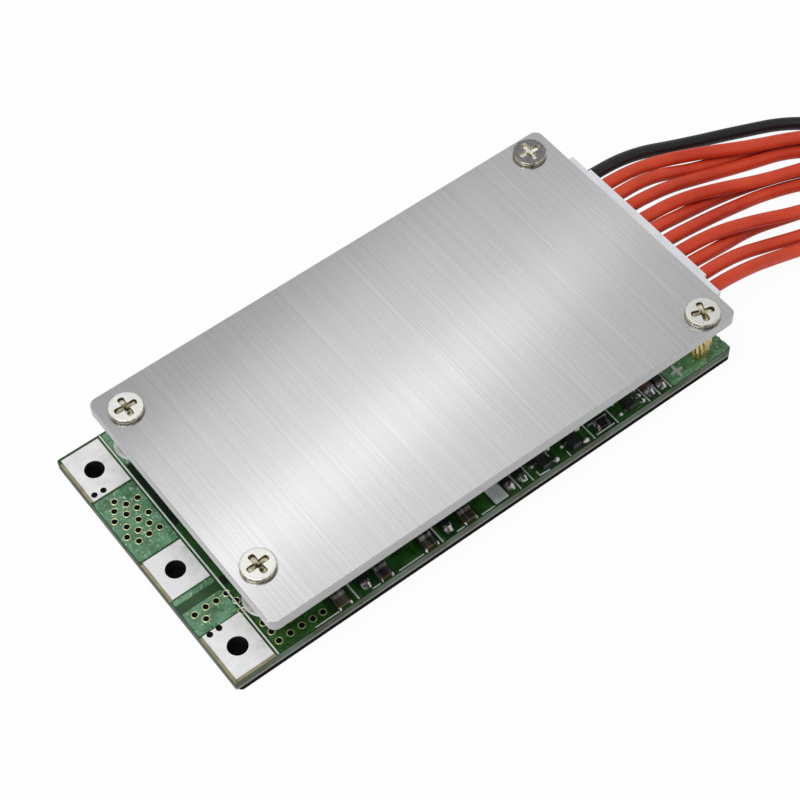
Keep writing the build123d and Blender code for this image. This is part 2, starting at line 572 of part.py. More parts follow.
def coil_tie():
    """The tie: a flat band round the coil's section, with its locking head on the outside."""
    band = tie_core(TIE_THICKNESS, TIE_WIDTH) - tie_core(0, TIE_WIDTH)
    depth, width, height = TIE_HEAD
    start = TIE_REACH[0] + TIE_THICKNESS
    head = block(start, start + depth, -width / 2, width / 2, -height / 2, height / 2)
    return coil_frame() * (band + head)


def build_nodes():
    """Every node's solids, by name."""
    nodes = {"circuit_board": [circuit_board()]}
    for i, (span, hole_y) in enumerate(zip(PAD_SPANS, PAD_HOLE_YS), 1):
        nodes[f"terminal_pad_{i}"] = [terminal_pad(span, hole_y)]
    nodes["adhesive_film"] = [adhesive_film()]
    nodes["insulating_sheet"] = [insulating_sheet()]
    nodes["heat_spreader_plate"] = [heat_spreader_plate()]
    nodes["cover_screws"] = [cover_screw(x, y) for x, y in SCREW_PLACES]
    nodes["standoffs"] = [standoff(x, y) for x, y in SCREW_PLACES]
    nodes["solder_rings"] = [solder_ring(x, y) for x, y in SCREW_PLACES if x < 0]
    nodes["thermal_pad"] = [thermal_pad()]
    for i, place in enumerate(mosfet_places(), 1):
        nodes[f"power_transistor_{i}"] = [placed(mosfet_body(), place)]
    nodes["power_lead_frames"] = [placed(part, place) for place in mosfet_places() for part in mosfet_metal()]
    for i, x in enumerate(SHUNT_XS, 1):
        nodes[f"sense_resistor_{i}"] = [sense_resistor(x)]
    resistor_places = [(BALANCE_RESISTOR_X, y, 0) for y in BALANCE_YS]
    balance_places = [(BALANCE_TRANSISTOR_X, y, 0) for y in BALANCE_YS]
    nodes["chip_resistors"] = [placed(chip_core(CHIP), place) for place in EDGE_RESISTORS]
    nodes["chip_capacitors"] = [placed(chip_core(CAPACITOR), place) for place in EDGE_CAPACITORS + INNER_CAPACITORS]
    nodes["balance_resistors"] = [placed(chip_core(CHIP), place) for place in resistor_places]
    nodes["chip_end_caps"] = [placed(cap, place) for place in EDGE_RESISTORS + tuple(resistor_places)
                              for cap in chip_caps(CHIP)]
    nodes["chip_end_caps"] += [placed(cap, place) for place in EDGE_CAPACITORS + INNER_CAPACITORS
                               for cap in chip_caps(CAPACITOR)]
    for i, place in enumerate(EDGE_TRANSISTORS, 1):
        nodes[f"edge_transistor_{i}"] = [placed(small_body(), place)]
    nodes["edge_regulator"] = [placed(small_body(), REGULATOR_PLACE)]
    nodes["balance_transistors"] = [placed(small_body(), place) for place in balance_places]
    three_leads = ((0,), (-SMALL_LEAD_PITCH, SMALL_LEAD_PITCH))
    five_leads = ((-SMALL_LEAD_PITCH, SMALL_LEAD_PITCH), (-SMALL_LEAD_PITCH, 0, SMALL_LEAD_PITCH))
    nodes["small_leads"] = [placed(lead, place) for place in EDGE_TRANSISTORS + tuple(balance_places)
                            for lead in small_leads(three_leads)]
    nodes["small_leads"] += [placed(lead, REGULATOR_PLACE) for lead in small_leads(five_leads)]
    nodes["protection_chip"] = [placed(chip_body(CHIP_BODY[0]), PROTECTION_CHIP_PLACE)]
    nodes["driver_chip"] = [placed(chip_body(DRIVER_BODY_LENGTH), DRIVER_CHIP_PLACE)]
    nodes["chip_leads"] = [placed(lead, PROTECTION_CHIP_PLACE) for lead in chip_leads(PROTECTION_CHIP_PAIRS)]
    nodes["chip_leads"] += [placed(lead, DRIVER_CHIP_PLACE) for lead in chip_leads(DRIVER_CHIP_PAIRS)]
    nodes["header_housing"] = [header_housing()]
    nodes["header_pins"] = [header_pin(y) for y in WAY_YS]
    nodes["plug_housing"] = [plug_housing()]
    nodes["crimp_contacts"] = [crimp_contact(y) for y in WAY_YS]
    nodes["wire_black"] = [wire(0)]
    for way in range(1, WAYS):
        nodes[f"wire_red_{way}"] = [wire(way)]
    nodes["wire_coil"] = [wire_coil()]
    nodes["coil_tie"] = [coil_tie()]
    return nodes


def solids_of(parts):
    """The single solids of a list of shapes."""
    return [solid for part in parts for solid in part.solids()]


os.makedirs("parts", exist_ok=True)
for name, parts in build_nodes().items():
    solids = solids_of(parts)
    shape = solids[0] if len(solids) == 1 else Compound(children=solids)
    export_step(shape, f"parts/{name}.step")
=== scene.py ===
import math
from functools import partial

import bmesh
import bpy
from mathutils import Matrix, Vector


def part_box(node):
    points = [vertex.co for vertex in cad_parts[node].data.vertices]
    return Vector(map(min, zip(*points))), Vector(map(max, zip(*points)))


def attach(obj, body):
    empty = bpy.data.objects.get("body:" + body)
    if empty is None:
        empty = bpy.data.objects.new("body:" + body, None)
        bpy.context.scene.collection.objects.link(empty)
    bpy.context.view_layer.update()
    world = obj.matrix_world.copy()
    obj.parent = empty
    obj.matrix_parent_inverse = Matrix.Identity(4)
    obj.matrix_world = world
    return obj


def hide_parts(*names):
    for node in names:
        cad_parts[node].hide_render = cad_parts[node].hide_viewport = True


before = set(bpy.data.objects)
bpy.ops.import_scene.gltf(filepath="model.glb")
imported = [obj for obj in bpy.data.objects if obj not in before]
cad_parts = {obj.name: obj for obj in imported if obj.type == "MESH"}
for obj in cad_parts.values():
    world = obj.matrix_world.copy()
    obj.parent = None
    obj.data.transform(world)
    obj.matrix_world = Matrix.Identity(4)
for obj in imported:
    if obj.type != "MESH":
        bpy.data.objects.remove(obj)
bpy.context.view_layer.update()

MM = 0.001

# Levels of the stack in millimetres, from the tabletop up.
BOARD_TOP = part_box("circuit_board")[1].z / MM
PAD_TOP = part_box("terminal_pad_1")[1].z / MM
PLATE_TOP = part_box("heat_spreader_plate")[1].z / MM

# Where the four screws and their standoffs stand, from the far left one clockwise.
SCREW_PLACES = ((-30.75, 16.38), (36.08, 17.48), (36.08, -17.78), (-30.75, -12.77))

# Harness: eleven wires on one connector pitch, in millimetres.
WAY_PITCH = 2.5
FIRST_WAY_Y = 12.2
WIRE_START_X = 37.2
WIRE_START_LEVEL = 5.35
WIRE_RADIUS = 0.95
WIRE_LENGTH = 180.0
WIRE_CURVE_STEPS = 10
WIRE_SECTION_STEPS = 5

ROUTES = (
    ((43.2, 12.45, 5.3), (50.6, 12.5, 4.3), (58.7, 10.95, 1.8), (66.8, 8.4, 0.97),
     (75.2, 4.65, 0.97), (81.9, -3.0, 0.97), (86.4, -10.1, 0.97), (90.9, -14.6, 0.97)),
    ((43.2, 9.95, 5.3), (50.4, 9.85, 4.4), (57.8, 7.7, 3.4), (64.9, 4.05, 3.05),
     (72.1, 0.9, 2.95), (79.2, -4.0, 3.5), (85.6, -9.3, 4.5), (90.9, -14.6, 4.6)),
    ((43.2, 7.5, 5.3), (50.2, 7.65, 4.3), (57.3, 6.35, 1.65), (64.4, 4.75, 0.97),
     (71.4, 2.7, 0.97), (78.2, -2.6, 1.35), (84.6, -9.9, 2.6), (90.7, -16.1, 2.8)),
    ((43.2, 4.95, 5.3), (50.2, 4.85, 4.3), (57.1, 4.4, 2.0), (64.2, 2.8, 0.97),
     (71.2, 0.7, 0.97), (77.9, -5.4, 0.97), (84.5, -11.3, 0.97), (90.6, -17.4, 0.97)),
    ((43.2, 2.0, 5.3), (49.7, 1.6, 5.15), (56.2, 0.3, 3.85), (62.6, -1.8, 2.8),
     (69.2, -4.0, 2.9), (77.2, -7.2, 3.5), (84.7, -11.5, 4.4), (90.6, -17.4, 4.6)),
    ((43.2, -0.15, 5.3), (49.8, 0.15, 3.5), (56.3, 0.55, 1.6), (62.8, -0.5, 0.97),
     (69.8, -2.8, 0.97), (77.4, -8.1, 1.5), (84.5, -12.9, 2.6), (90.5, -18.9, 2.8)),
    ((43.2, -2.8, 5.3), (49.8, -2.8, 4.2), (56.2, -2.4, 2.1), (62.5, -2.8, 0.97),
     (69.2, -5.2, 0.97), (77.0, -10.5, 0.97), (84.7, -14.4, 0.97), (90.6, -20.3, 0.97)),
    ((43.2, -5.4, 5.3), (49.7, -6.0, 5.3), (56.0, -7.15, 4.0), (62.2, -9.15, 2.95),
     (69.2, -11.1, 2.95), (76.9, -12.2, 3.5), (84.9, -14.6, 4.4), (90.6, -20.3, 4.6)),
    ((43.2, -7.7, 5.2), (49.8, -7.25, 3.35), (56.0, -6.6, 1.75), (62.2, -7.9, 0.97),
     (68.8, -9.7, 0.97), (76.7, -13.0, 1.5), (84.8, -15.9, 2.6), (90.8, -21.9, 2.8)),
    ((43.2, -10.2, 5.3), (49.6, -10.1, 4.4), (55.8, -10.55, 2.2), (62.1, -11.8, 0.97),
     (68.6, -13.3, 0.97), (76.6, -15.7, 0.97), (85.1, -17.5, 0.97), (91.1, -23.5, 0.97)),
    ((43.2, -12.7, 5.3), (49.5, -12.8, 4.4), (55.6, -12.9, 2.2), (61.8, -13.9, 0.97),
     (68.4, -15.6, 1.2), (76.6, -17.4, 2.8), (85.1, -17.5, 4.4), (91.1, -23.5, 4.6)),
)

# The rest of each wire is wound into one tied coil. A lane is a wire's radius and row in it.
COIL_CENTRE = (108.6, -18.3)
COIL_MID = 13.2
LANES = (
    (10.2, 0), (10.2, 2), (11.2, 1), (12.2, 0), (12.2, 2), (13.2, 1),
    (14.2, 0), (14.2, 2), (15.2, 1), (16.2, 0), (16.2, 2),
)
LANE_LEVELS = (0.97, 2.66, 4.35)
TIED_LEVELS = (1.57, 3.21, 4.85)
SECOND_TURN_RISE = 5.6
TIED_RISE = 5.2
TIED_SQUEEZE = 0.035
COIL_START = math.radians(225)
TIE_ANGLE = math.radians(250)
TIE_REACH = 0.55
CLIMB_FROM = 3.55
CLIMB_TO = 5.05
POINTS_PER_TURN = 16
LAST_STEP_SHARE = 0.4

# The bare tinned tips: how far each stands out of its wire and reaches into it, and its rounded ends.
TIP_REACH = 4.2
TIP_INSIDE = 0.8
TIP_RADIUS = 0.52
TIP_POINTS = 8
TIP_SIDES = 10
TIP_ROUNDING = (0.35, 0.8)


# Camera, floor and lamps.

CAMERA_PLACE = (-0.08645, -0.12485, 0.22295)
CAMERA_FORWARD = (0.3238, 0.4671, -0.8228)
CAMERA_UP = (0.5128, 0.6442, 0.5675)
CAMERA_LENS = 92.02
CAMERA_SENSOR = 36
CAMERA_RANGE = (0.01, 30)

FLOOR_HALF = 6.0
FLOOR_GREY = 0.92
FLOOR_ROUGHNESS = 0.9
FLOOR_SPECULAR = 0.1
FLOOR_SEEN_WHITE = 0.95
FLOOR_MIRRORED_WHITE = 0.3

# The room is brighter low down than overhead, between two heights of the view's direction.
SKY_HEIGHTS = (0.45, 0.75)
SKY_STRENGTHS = (0.62, 0.42)

BOARD_MIDDLE = (0.0, 0.0, 0.005)
PLATE_MIDDLE = (0.0, 0.0, 0.0102)

# Each lamp's name, target, direction, distance, width and depth in metres, and watts.
LAMPS = (
    ("overhead_softbox", BOARD_MIDDLE, (-0.34, 0.0, 1.0), 0.8, 0.34, 0.34, 2.7),
    ("plate_softbox", PLATE_MIDDLE, (0.18, 0.515, 1.0), 0.69, 0.38, 0.145, 0.088),
    ("band_softbox", PLATE_MIDDLE, (0.22, 0.531, 1.0), 0.69, 0.44, 0.025, 0.024),
)


def link(name, data):
    made = bpy.data.objects.new(name, data)
    bpy.context.scene.collection.objects.link(made)
    return made


def add_node(tree, kind, inputs=None, **settings):
    """A new node in a tree, with its settings made and its inputs set or linked."""
    node = tree.nodes.new(kind)
    for name, value in settings.items():
        setattr(node, name, value)
    for key, value in (inputs or {}).items():
        if isinstance(value, bpy.types.NodeSocket):
            tree.links.new(value, node.inputs[key])
        else:
            node.inputs[key].default_value = value
    return node


def worked(tree, kind, first, second=0.0):
    """The result of one kind of sum on two numbers or sockets."""
    return add_node(tree, "ShaderNodeMath", {0: first, 1: second}, operation=kind).outputs[0]


def set_camera():
    back = -Vector(CAMERA_FORWARD).normalized()
    right = Vector(CAMERA_UP).cross(back).normalized()
    up = back.cross(right)
    lens = bpy.data.cameras.new("photo_camera")
    lens.lens = CAMERA_LENS
    lens.sensor_width = CAMERA_SENSOR
    lens.clip_start, lens.clip_end = CAMERA_RANGE
    camera = link("photo_camera", lens)
    turn = Matrix((right, up, back)).transposed().to_4x4()
    camera.matrix_world = Matrix.Translation(CAMERA_PLACE) @ turn
    bpy.context.scene.camera = camera


def softbox(name, target, direction, distance, width, depth, watts):
    lamp = bpy.data.lights.new(name, "AREA")
    lamp.shape = "RECTANGLE"
    lamp.size = width
    lamp.size_y = depth
    lamp.energy = watts
    holder = link(name, lamp)
    away = Vector(direction).normalized()
    holder.location = Vector(target) + away * distance
    across = Vector((0.0, 1.0, 0.0)).cross(away).normalized()
    holder.rotation_euler = Matrix((across, away.cross(across), away)).transposed().to_euler()


def white_or_floor(material, shader_socket, seen_share, mirrored_share):
    """Blend a surface towards plain white, most where the camera or glass sees it directly."""
    tree = material.node_tree
    path = add_node(tree, "ShaderNodeLightPath").outputs
    seen = worked(tree, "MAXIMUM", path["Is Camera Ray"], path["Is Transmission Ray"])
    direct = worked(tree, "MULTIPLY", seen, seen_share)
    mirrored = worked(tree, "MULTIPLY", path["Is Glossy Ray"], mirrored_share)
    share = worked(tree, "MAXIMUM", direct, mirrored)
    glow = add_node(tree, "ShaderNodeEmission", {"Strength": 1.0})
    mix = add_node(tree, "ShaderNodeMixShader", {0: share, 1: shader_socket, 2: glow.outputs[0]})
    tree.links.new(mix.outputs[0], tree.nodes["Material Output"].inputs["Surface"])


def lay_floor():
    half = FLOOR_HALF
    mesh = bpy.data.meshes.new("studio_floor")
    corners = [(-half, -half, 0), (half, -half, 0), (half, half, 0), (-half, half, 0)]
    mesh.from_pydata(corners, [], [(0, 1, 2, 3)])
    floor = link("studio_floor", mesh)
    paint_white = bpy.data.materials.new("studio_white")
    paint_white.use_nodes = True
    surface = paint_white.node_tree.nodes["Principled BSDF"]
    surface.inputs["Base Color"].default_value = (FLOOR_GREY, FLOOR_GREY, FLOOR_GREY, 1)
    surface.inputs["Roughness"].default_value = FLOOR_ROUGHNESS
    surface.inputs["Specular IOR Level"].default_value = FLOOR_SPECULAR
    white_or_floor(paint_white, surface.outputs[0], FLOOR_SEEN_WHITE, FLOOR_MIRRORED_WHITE)
    mesh.materials.append(paint_white)


def light_studio():
    world = bpy.data.worlds.new("soft_room")
    bpy.context.scene.world = world
    world.use_nodes = True
    tree = world.node_tree
    sky = tree.nodes["Background"]
    sky.inputs["Color"].default_value = (1.0, 1.0, 1.0, 1)
    view = add_node(tree, "ShaderNodeTexCoord").outputs["Generated"]
    height = add_node(tree, "ShaderNodeSeparateXYZ", {0: view}).outputs[2]
    fall = add_node(tree, "ShaderNodeMapRange", {
        "Value": height, "From Min": SKY_HEIGHTS[0], "From Max": SKY_HEIGHTS[1],
        "To Min": SKY_STRENGTHS[0], "To Max": SKY_STRENGTHS[1]}, interpolation_type="SMOOTHSTEP")
    tree.links.new(fall.outputs[0], sky.inputs["Strength"])
    for lamp in LAMPS:
        softbox(*lamp)
    bpy.context.scene.view_settings.view_transform = "Standard"


set_camera()
lay_floor()
light_studio()


# Finishes. A colour is written as the three 8-bit values that it should look like.

def shade(red, green, blue):
    def linear(value):
        v = value / 255
        return v / 12.92 if v <= 0.04045 else ((v + 0.055) / 1.055) ** 2.4
    return (linear(red), linear(green), linear(blue), 1.0)


class Finish:
    """A material under construction: its nodes, and short ways to add the usual ones."""

    def __init__(self, name, roughness=0.5, metallic=0.0, specular=0.5):
        self.material = bpy.data.materials.new(name)
        self.material.use_nodes = True
        self.tree = self.material.node_tree
        self.surface = self.tree.nodes["Principled BSDF"]
        self.surface.inputs["Roughness"].default_value = roughness
        self.surface.inputs["Metallic"].default_value = metallic
        self.surface.inputs["Specular IOR Level"].default_value = specular
        self.place = self.add("ShaderNodeTexCoord").outputs["Object"]

    def add(self, kind, inputs=None, **settings):
        return add_node(self.tree, kind, inputs, **settings)

    def feed(self, label, value):
        self.tree.links.new(value, self.surface.inputs[label])

    def grain(self, per_metre, detail=3.0, roughness=0.55, stretch=(1, 1, 1)):
        spread = self.add("ShaderNodeMapping", {"Vector": self.place, "Scale": stretch})
        return self.add("ShaderNodeTexNoise", {
            "Vector": spread.outputs["Vector"], "Scale": per_metre, "Detail": detail,
            "Roughness": roughness}).outputs["Fac"]

    def span(self, value, low_in, high_in, low_out, high_out):
        return self.add("ShaderNodeMapRange", {
            "Value": value, "From Min": low_in, "From Max": high_in,
            "To Min": low_out, "To Max": high_out}).outputs["Result"]

    def sum(self, first, second, kind="ADD"):
        return worked(self.tree, kind, first, second)

    def colours(self, value, *stops):
        ramp = self.add("ShaderNodeValToRGB", {"Fac": value})
        elements = ramp.color_ramp.elements
        while len(elements) < len(stops):
            elements.new(0.5)
        for element, (place, colour) in zip(elements, stops):
            element.position = place
            element.color = colour
        return ramp.outputs["Color"]

    def blended(self, value, first, second):
        mix = self.add("ShaderNodeMix", {"Factor": value}, data_type="RGBA")
        sockets = [s for s in mix.inputs if s.type == "RGBA"]
        for socket, colour in zip(sockets, (first, second)):
            if isinstance(colour, tuple):
                socket.default_value = colour
            else:
                self.tree.links.new(colour, socket)
        return [s for s in mix.outputs if s.type == "RGBA"][0]

    def colour(self, value):
        self.feed("Base Color", value)

    def roughness(self, value):
        self.feed("Roughness", value)

    def relief(self, height, depth, strength=0.5):
        bump = self.add("ShaderNodeBump", {"Height": height, "Distance": depth, "Strength": strength})
        self.feed("Normal", bump.outputs["Normal"])

    def coordinate(self, axis):
        return self.add("ShaderNodeSeparateXYZ", {0: self.place}).outputs[axis]

    def facing_up(self):
        normal = self.add("ShaderNodeTexCoord").outputs["Normal"]
        return self.add("ShaderNodeSeparateXYZ", {0: normal}).outputs[2]

    def mark(self, name):
        """A value that the piece carries on its own points."""
        return self.add("ShaderNodeAttribute", attribute_name=name).outputs["Fac"]


RIPPLE_DEPTH = 0.00002


def moulded(name, dark, light, roughness=0.5, per_metre=900, depth=RIPPLE_DEPTH, specular=0.4):
    """A moulded or cast plastic: faint cloudiness, a fine matt grain and its relief."""
    finish = Finish(name, roughness, 0.0, specular)
    cloud = finish.grain(per_metre * 0.3, 2.0)
    finish.colour(finish.colours(cloud, (0.3, dark), (0.7, light)))
    fine = finish.grain(per_metre * 8, 4.0)
    finish.roughness(finish.span(fine, 0.3, 0.7, roughness * 0.85, roughness * 1.15))
    finish.relief(fine, depth)
    return finish.material


def bare_metal(name, dark, light, roughness=0.3, metallic=1.0, per_metre=1500):
    """A plated or bare metal: uneven tone, uneven polish and slight ripples."""
    finish = Finish(name, roughness, metallic)
    cloud = finish.grain(per_metre, 4.0)
    finish.colour(finish.colours(cloud, (0.35, dark), (0.65, light)))
    finish.roughness(finish.span(cloud, 0.3, 0.7, roughness * 0.7, roughness * 1.4))
    finish.relief(finish.grain(per_metre * 1.7, 3.0), RIPPLE_DEPTH)
    return finish.material


def brushed_aluminium():
    """Aluminium brushed along Y: faint hairlines, fine grain, and gloss that spreads across them."""
    finish = Finish("brushed_aluminium", 0.2, 1.0)
    hairs = finish.grain(6400, 0.0, 0.5, (1.0, 0.003, 1.0))
    fine = finish.grain(11000, 1.0, 0.5, (1.0, 0.006, 1.0))
    cloud = finish.grain(35, 2.0)
    tone = finish.sum(finish.span(hairs, 0.25, 0.75, 0.0, 0.6), finish.span(fine, 0.3, 0.7, 0.0, 0.4))
    finish.colour(finish.colours(tone, (0.2, shade(216, 217, 218)), (0.36, shade(221, 221, 222)),
                                 (0.64, shade(224, 224, 225)), (0.8, shade(229, 229, 230))))
    sides = finish.span(finish.facing_up(), 0.5, 0.95, 0.45, 0.0)
    finish.roughness(finish.sum(finish.span(cloud, 0.3, 0.7, 0.195, 0.205), sides))
    finish.surface.inputs["Anisotropic"].default_value = 0.9
    finish.feed("Tangent", finish.add("ShaderNodeCombineXYZ", {0: 1.0, 2: 0.1}).outputs[0])
    return finish.material


# Where the looks change on the board and strips, in metres, each as the two ends of a short blend.
CUT_START_X = (-0.0395, -0.0393)
CUT_END_X = (0.0388, 0.0390)
CUT_SIDE_Y = (0.0198, 0.0200)
LIGHT_FOOT_LEVEL = (0.0011, 0.0014)
STRIP_NEAR_Y = (-0.0195, -0.0190)
STRIP_FOOT_LEVEL = (0.0026, 0.0031)


def inside_outline(finish):
    """1 on faces away from the board's cut edges, such as hole walls, and 0 on the edges."""
    past_start = finish.span(finish.coordinate(0), *CUT_START_X, 0.0, 1.0)
    before_end = finish.span(finish.coordinate(0), *CUT_END_X, 1.0, 0.0)
    between = finish.span(finish.sum(finish.coordinate(1), 0.0, "ABSOLUTE"), *CUT_SIDE_Y, 1.0, 0.0)
    return finish.sum(finish.sum(past_start, before_end, "MULTIPLY"), between, "MULTIPLY")


def adhesive_film():
    """Greyish film at the cut edges, painted near-black as shade where the holes show it."""
    finish = Finish("adhesive_film", 0.35, 0.0)
    smear = finish.grain(900, 3.0)
    edge = finish.colours(smear, (0.35, shade(150, 152, 146)), (0.65, shade(176, 178, 170)))
    # Painted shade: faces inside the outline, the hole walls, take a near-black colour.
    finish.colour(finish.blended(inside_outline(finish), edge, shade(12, 12, 11)))
    finish.roughness(finish.span(smear, 0.3, 0.7, 0.3, 0.5))
    finish.relief(smear, 0.00002)
    return finish.material


def solder_mask():
    """Green lacquer over etched copper on top, cut fibreglass at the edges, hole walls painted near-black as
    shade.
    """
    finish = Finish("green_solder_mask", 0.3, 0.0, 0.5)
    cloud = finish.grain(260, 4.0)
    green = finish.colours(cloud, (0.3, shade(24, 56, 22)), (0.7, shade(40, 80, 36)))
    weave = finish.grain(2600, 3.0, 0.6, (1.0, 1.0, 3.0))
    patches = finish.grain(160, 3.0, 0.6, (1.0, 1.0, 0.3))
    cut = finish.colours(patches, (0.35, shade(66, 72, 50)), (0.65, shade(106, 120, 110)))
    low = finish.span(finish.coordinate(2), *LIGHT_FOOT_LEVEL, 0.45, 0.0)
    light = finish.span(finish.sum(weave, low), 0.6, 0.95, 0.0, 0.85)
    edge = finish.blended(light, cut, shade(170, 174, 166))
    # Painted shade: the hole walls inside the outline take a near-black colour.
    walls = finish.blended(inside_outline(finish), edge, shade(22, 22, 16))
    up = finish.span(finish.facing_up(), 0.3, 0.6, 0.0, 1.0)
    finish.colour(finish.blended(up, walls, green))
    finish.roughness(finish.span(up, 0.0, 1.0, 0.8, 0.27))
    finish.relief(finish.grain(1200, 3.0), 0.00003, 0.4)
    return finish.material


def lacquered_copper(name, deep, light, glint, glints):
    """Green lacquer over copper: lighter than over bare laminate, with small specks painted pale as painted
    glints.
    """
    finish = Finish(name, 0.26, 0.0, 0.6)
    cloud = finish.grain(520, 5.0, 0.7)
    green = finish.colours(cloud, (0.36, deep), (0.62, light))
    fine = finish.grain(2300, 4.0, 0.65)
    # Painted highlight: the fine noise's peaks take the pale glint colour.
    finish.colour(finish.blended(finish.span(fine, 0.57, 0.66, 0.0, glints), green, glint))
    finish.roughness(finish.span(cloud, 0.3, 0.7, 0.2, 0.4))
    finish.relief(fine, 0.00006, 0.5)
    return finish.material


def painted_highlight_solder():
    """Solder with painted light: dark specks and pale sparkles, and a near-white painted highlight on the
    marked shoulder.
    """
    finish = Finish("painted_highlight_solder", 0.25, 0.15)
    facets = finish.grain(1900, 3.0, 0.6)
    # Painted light: the facet noise paints dark specks and pale sparkles.
    dull = finish.colours(facets, (0.4, shade(64, 58, 60)), (0.52, shade(122, 118, 120)),
                          (0.62, shade(232, 232, 230)))
    # Painted highlight: where the shoulder mark is high, the colour turns near-white.
    shoulder = finish.sum(finish.mark("shoulder"), finish.span(facets, 0.35, 0.65, -0.3, 0.3))
    finish.colour(finish.blended(finish.span(shoulder, 0.2, 0.36, 0.0, 1.0), dull, shade(254, 254, 253)))
    finish.roughness(finish.span(facets, 0.35, 0.65, 0.34, 0.18))
    finish.relief(facets, 0.00006, 0.6)
    return finish.material


def rolled_strip():
    """Resistor alloy rolled along Y: grey streaks, its top painted darker and its sides lighter as painted
    light, coppery at the foot of its near end.
    """
    finish = Finish("resistor_strip", 0.4, 0.6)
    streaks = finish.grain(1500, 3.0, 0.6, (1.0, 0.05, 0.2))
    top = finish.colours(streaks, (0.38, shade(58, 56, 52)), (0.52, shade(92, 90, 84)),
                         (0.64, shade(142, 140, 132)))
    end = finish.colours(streaks, (0.38, shade(88, 84, 76)), (0.52, shade(126, 120, 110)),
                         (0.64, shade(170, 166, 156)))
    # Painted light: faces that don't face up take the lighter grey, the top the darker one.
    grey_with_painted_light = finish.blended(finish.span(finish.facing_up(), 0.3, 0.7, 0.0, 1.0), end, top)
    near = finish.span(finish.coordinate(1), *STRIP_NEAR_Y, 1.0, 0.0)
    foot = finish.span(finish.coordinate(2), *STRIP_FOOT_LEVEL, 1.0, 0.0)
    finish.colour(finish.blended(finish.sum(near, foot, "MULTIPLY"), grey_with_painted_light, shade(150, 106, 70)))
    finish.roughness(finish.span(streaks, 0.3, 0.7, 0.32, 0.5))
    finish.relief(streaks, 0.00002)
    return finish.material


def screw_nickel():
    """Nickel plating with painted light: faces painted bright or dark as painted reflections, and warm sides
    and recess painted from shade to highlight.
    """
    finish = Finish("nickel_screw", 0.24, 0.3)
    cloud = finish.grain(2600, 4.0)
    facets = finish.grain(1300, 2.0)
    # Painted light and shade: each ring's mark, jittered by facets, runs the side and recess colours from
    # dark to bright.
    painted_light = finish.sum(finish.mark("painted_light"), finish.span(facets, 0.3, 0.7, -0.25, 0.25))
    side = finish.colours(painted_light, (0.2, shade(44, 38, 26)), (0.5, shade(120, 112, 88)),
                          (0.8, shade(226, 222, 204)))
    bowl = finish.colours(painted_light, (0.15, shade(56, 48, 30)), (0.4, shade(160, 148, 112)),
                          (0.62, shade(226, 220, 190)), (0.85, shade(253, 252, 248)))
    bright = finish.colours(cloud, (0.35, shade(240, 239, 232)), (0.65, shade(253, 252, 248)))
    dull = finish.colours(cloud, (0.35, shade(88, 89, 91)), (0.65, shade(116, 117, 119)))
    # Painted reflection: each screw's face is blended between a bright and a dark colour by its tone mark.
    face = finish.blended(finish.mark("tone"), dull, bright)
    walls = finish.blended(finish.mark("recess"), side, bowl)
    up = finish.span(finish.facing_up(), 0.85, 0.98, 0.0, 1.0)
    finish.colour(finish.blended(up, walls, face))
    finish.roughness(finish.span(cloud, 0.3, 0.7, 0.2, 0.28))
    finish.relief(finish.grain(5200, 3.0), 0.000004, 0.5)
    return finish.material


def wire_cover(name, dark, light, fine_dark):
    """Satin cable cover: slow colour drift, fine mottling and a soft drawn grain."""
    finish = Finish(name, 0.42, 0.0, 0.45)
    drift = finish.grain(140, 3.0)
    mottle = finish.grain(2200, 4.0)
    base = finish.colours(drift, (0.3, dark), (0.7, light))
    finish.colour(finish.blended(finish.span(mottle, 0.55, 0.8, 0.0, 0.35), base, fine_dark))
    finish.roughness(finish.span(mottle, 0.3, 0.7, 0.36, 0.50))
    finish.relief(finish.grain(1500, 3.0), 0.00004, 0.35)
    return finish.material


ALUMINIUM = brushed_aluminium()
GREEN = solder_mask()
RED_COVER = wire_cover("red_wire_cover", shade(198, 52, 24), shade(222, 78, 44), shade(176, 42, 18))
BLACK_COVER = wire_cover("black_wire_cover", shade(16, 16, 17), shade(28, 28, 30), shade(52, 52, 56))
TINNED = bare_metal("tinned_pad", shade(238, 238, 240), shade(250, 250, 251), 0.3, 0.25, 700)
SOLDER = painted_highlight_solder()
RING_TIN = bare_metal("satin_tin", shade(188, 192, 192), shade(222, 225, 224), 0.4, 0.35, 900)
LEAD = bare_metal("tinned_lead", shade(176, 174, 170), shade(216, 214, 210), 0.3, 1.0, 2400)
NICKEL = screw_nickel()
BRASS = bare_metal("knurled_brass", shade(204, 178, 112), shade(244, 224, 164), 0.26, 0.95, 1800)
NYLON = moulded("white_nylon", shade(224, 227, 232), shade(236, 238, 242), 0.45, 800)
TIE_NYLON = moulded("tie_nylon", shade(206, 206, 200), shade(222, 222, 216), 0.4, 900)
BLACK_SHEET = moulded("black_sheet", shade(6, 6, 6), shade(13, 13, 13), 0.7, 900, 0.00002, 0.06)
FILM = adhesive_film()
MOULDING = moulded("black_moulding", shade(38, 38, 40), shade(54, 54, 56), 0.5, 1500)
CERAMIC = moulded("resistor_body", shade(26, 26, 28), shade(42, 42, 44), 0.35, 1600)
CAPACITOR = moulded("capacitor_body", shade(88, 56, 36), shade(116, 78, 52), 0.4, 1600)
SILICONE = moulded("thermal_silicone", shade(132, 138, 146), shade(150, 156, 164), 0.7, 900)
STRIP = rolled_strip()
# A lighter copy of the lacquered copper: painted light for the open copper at the board's right end.
LIT_END_COPPER = lacquered_copper("lit_end_lacquered_copper", shade(58, 112, 66), shade(124, 184, 130),
                              shade(236, 244, 236), 0.6)
GREEN_COPPER = lacquered_copper("lacquered_copper", shade(56, 104, 64), shade(106, 156, 120),
                                shade(200, 224, 208), 0.8)
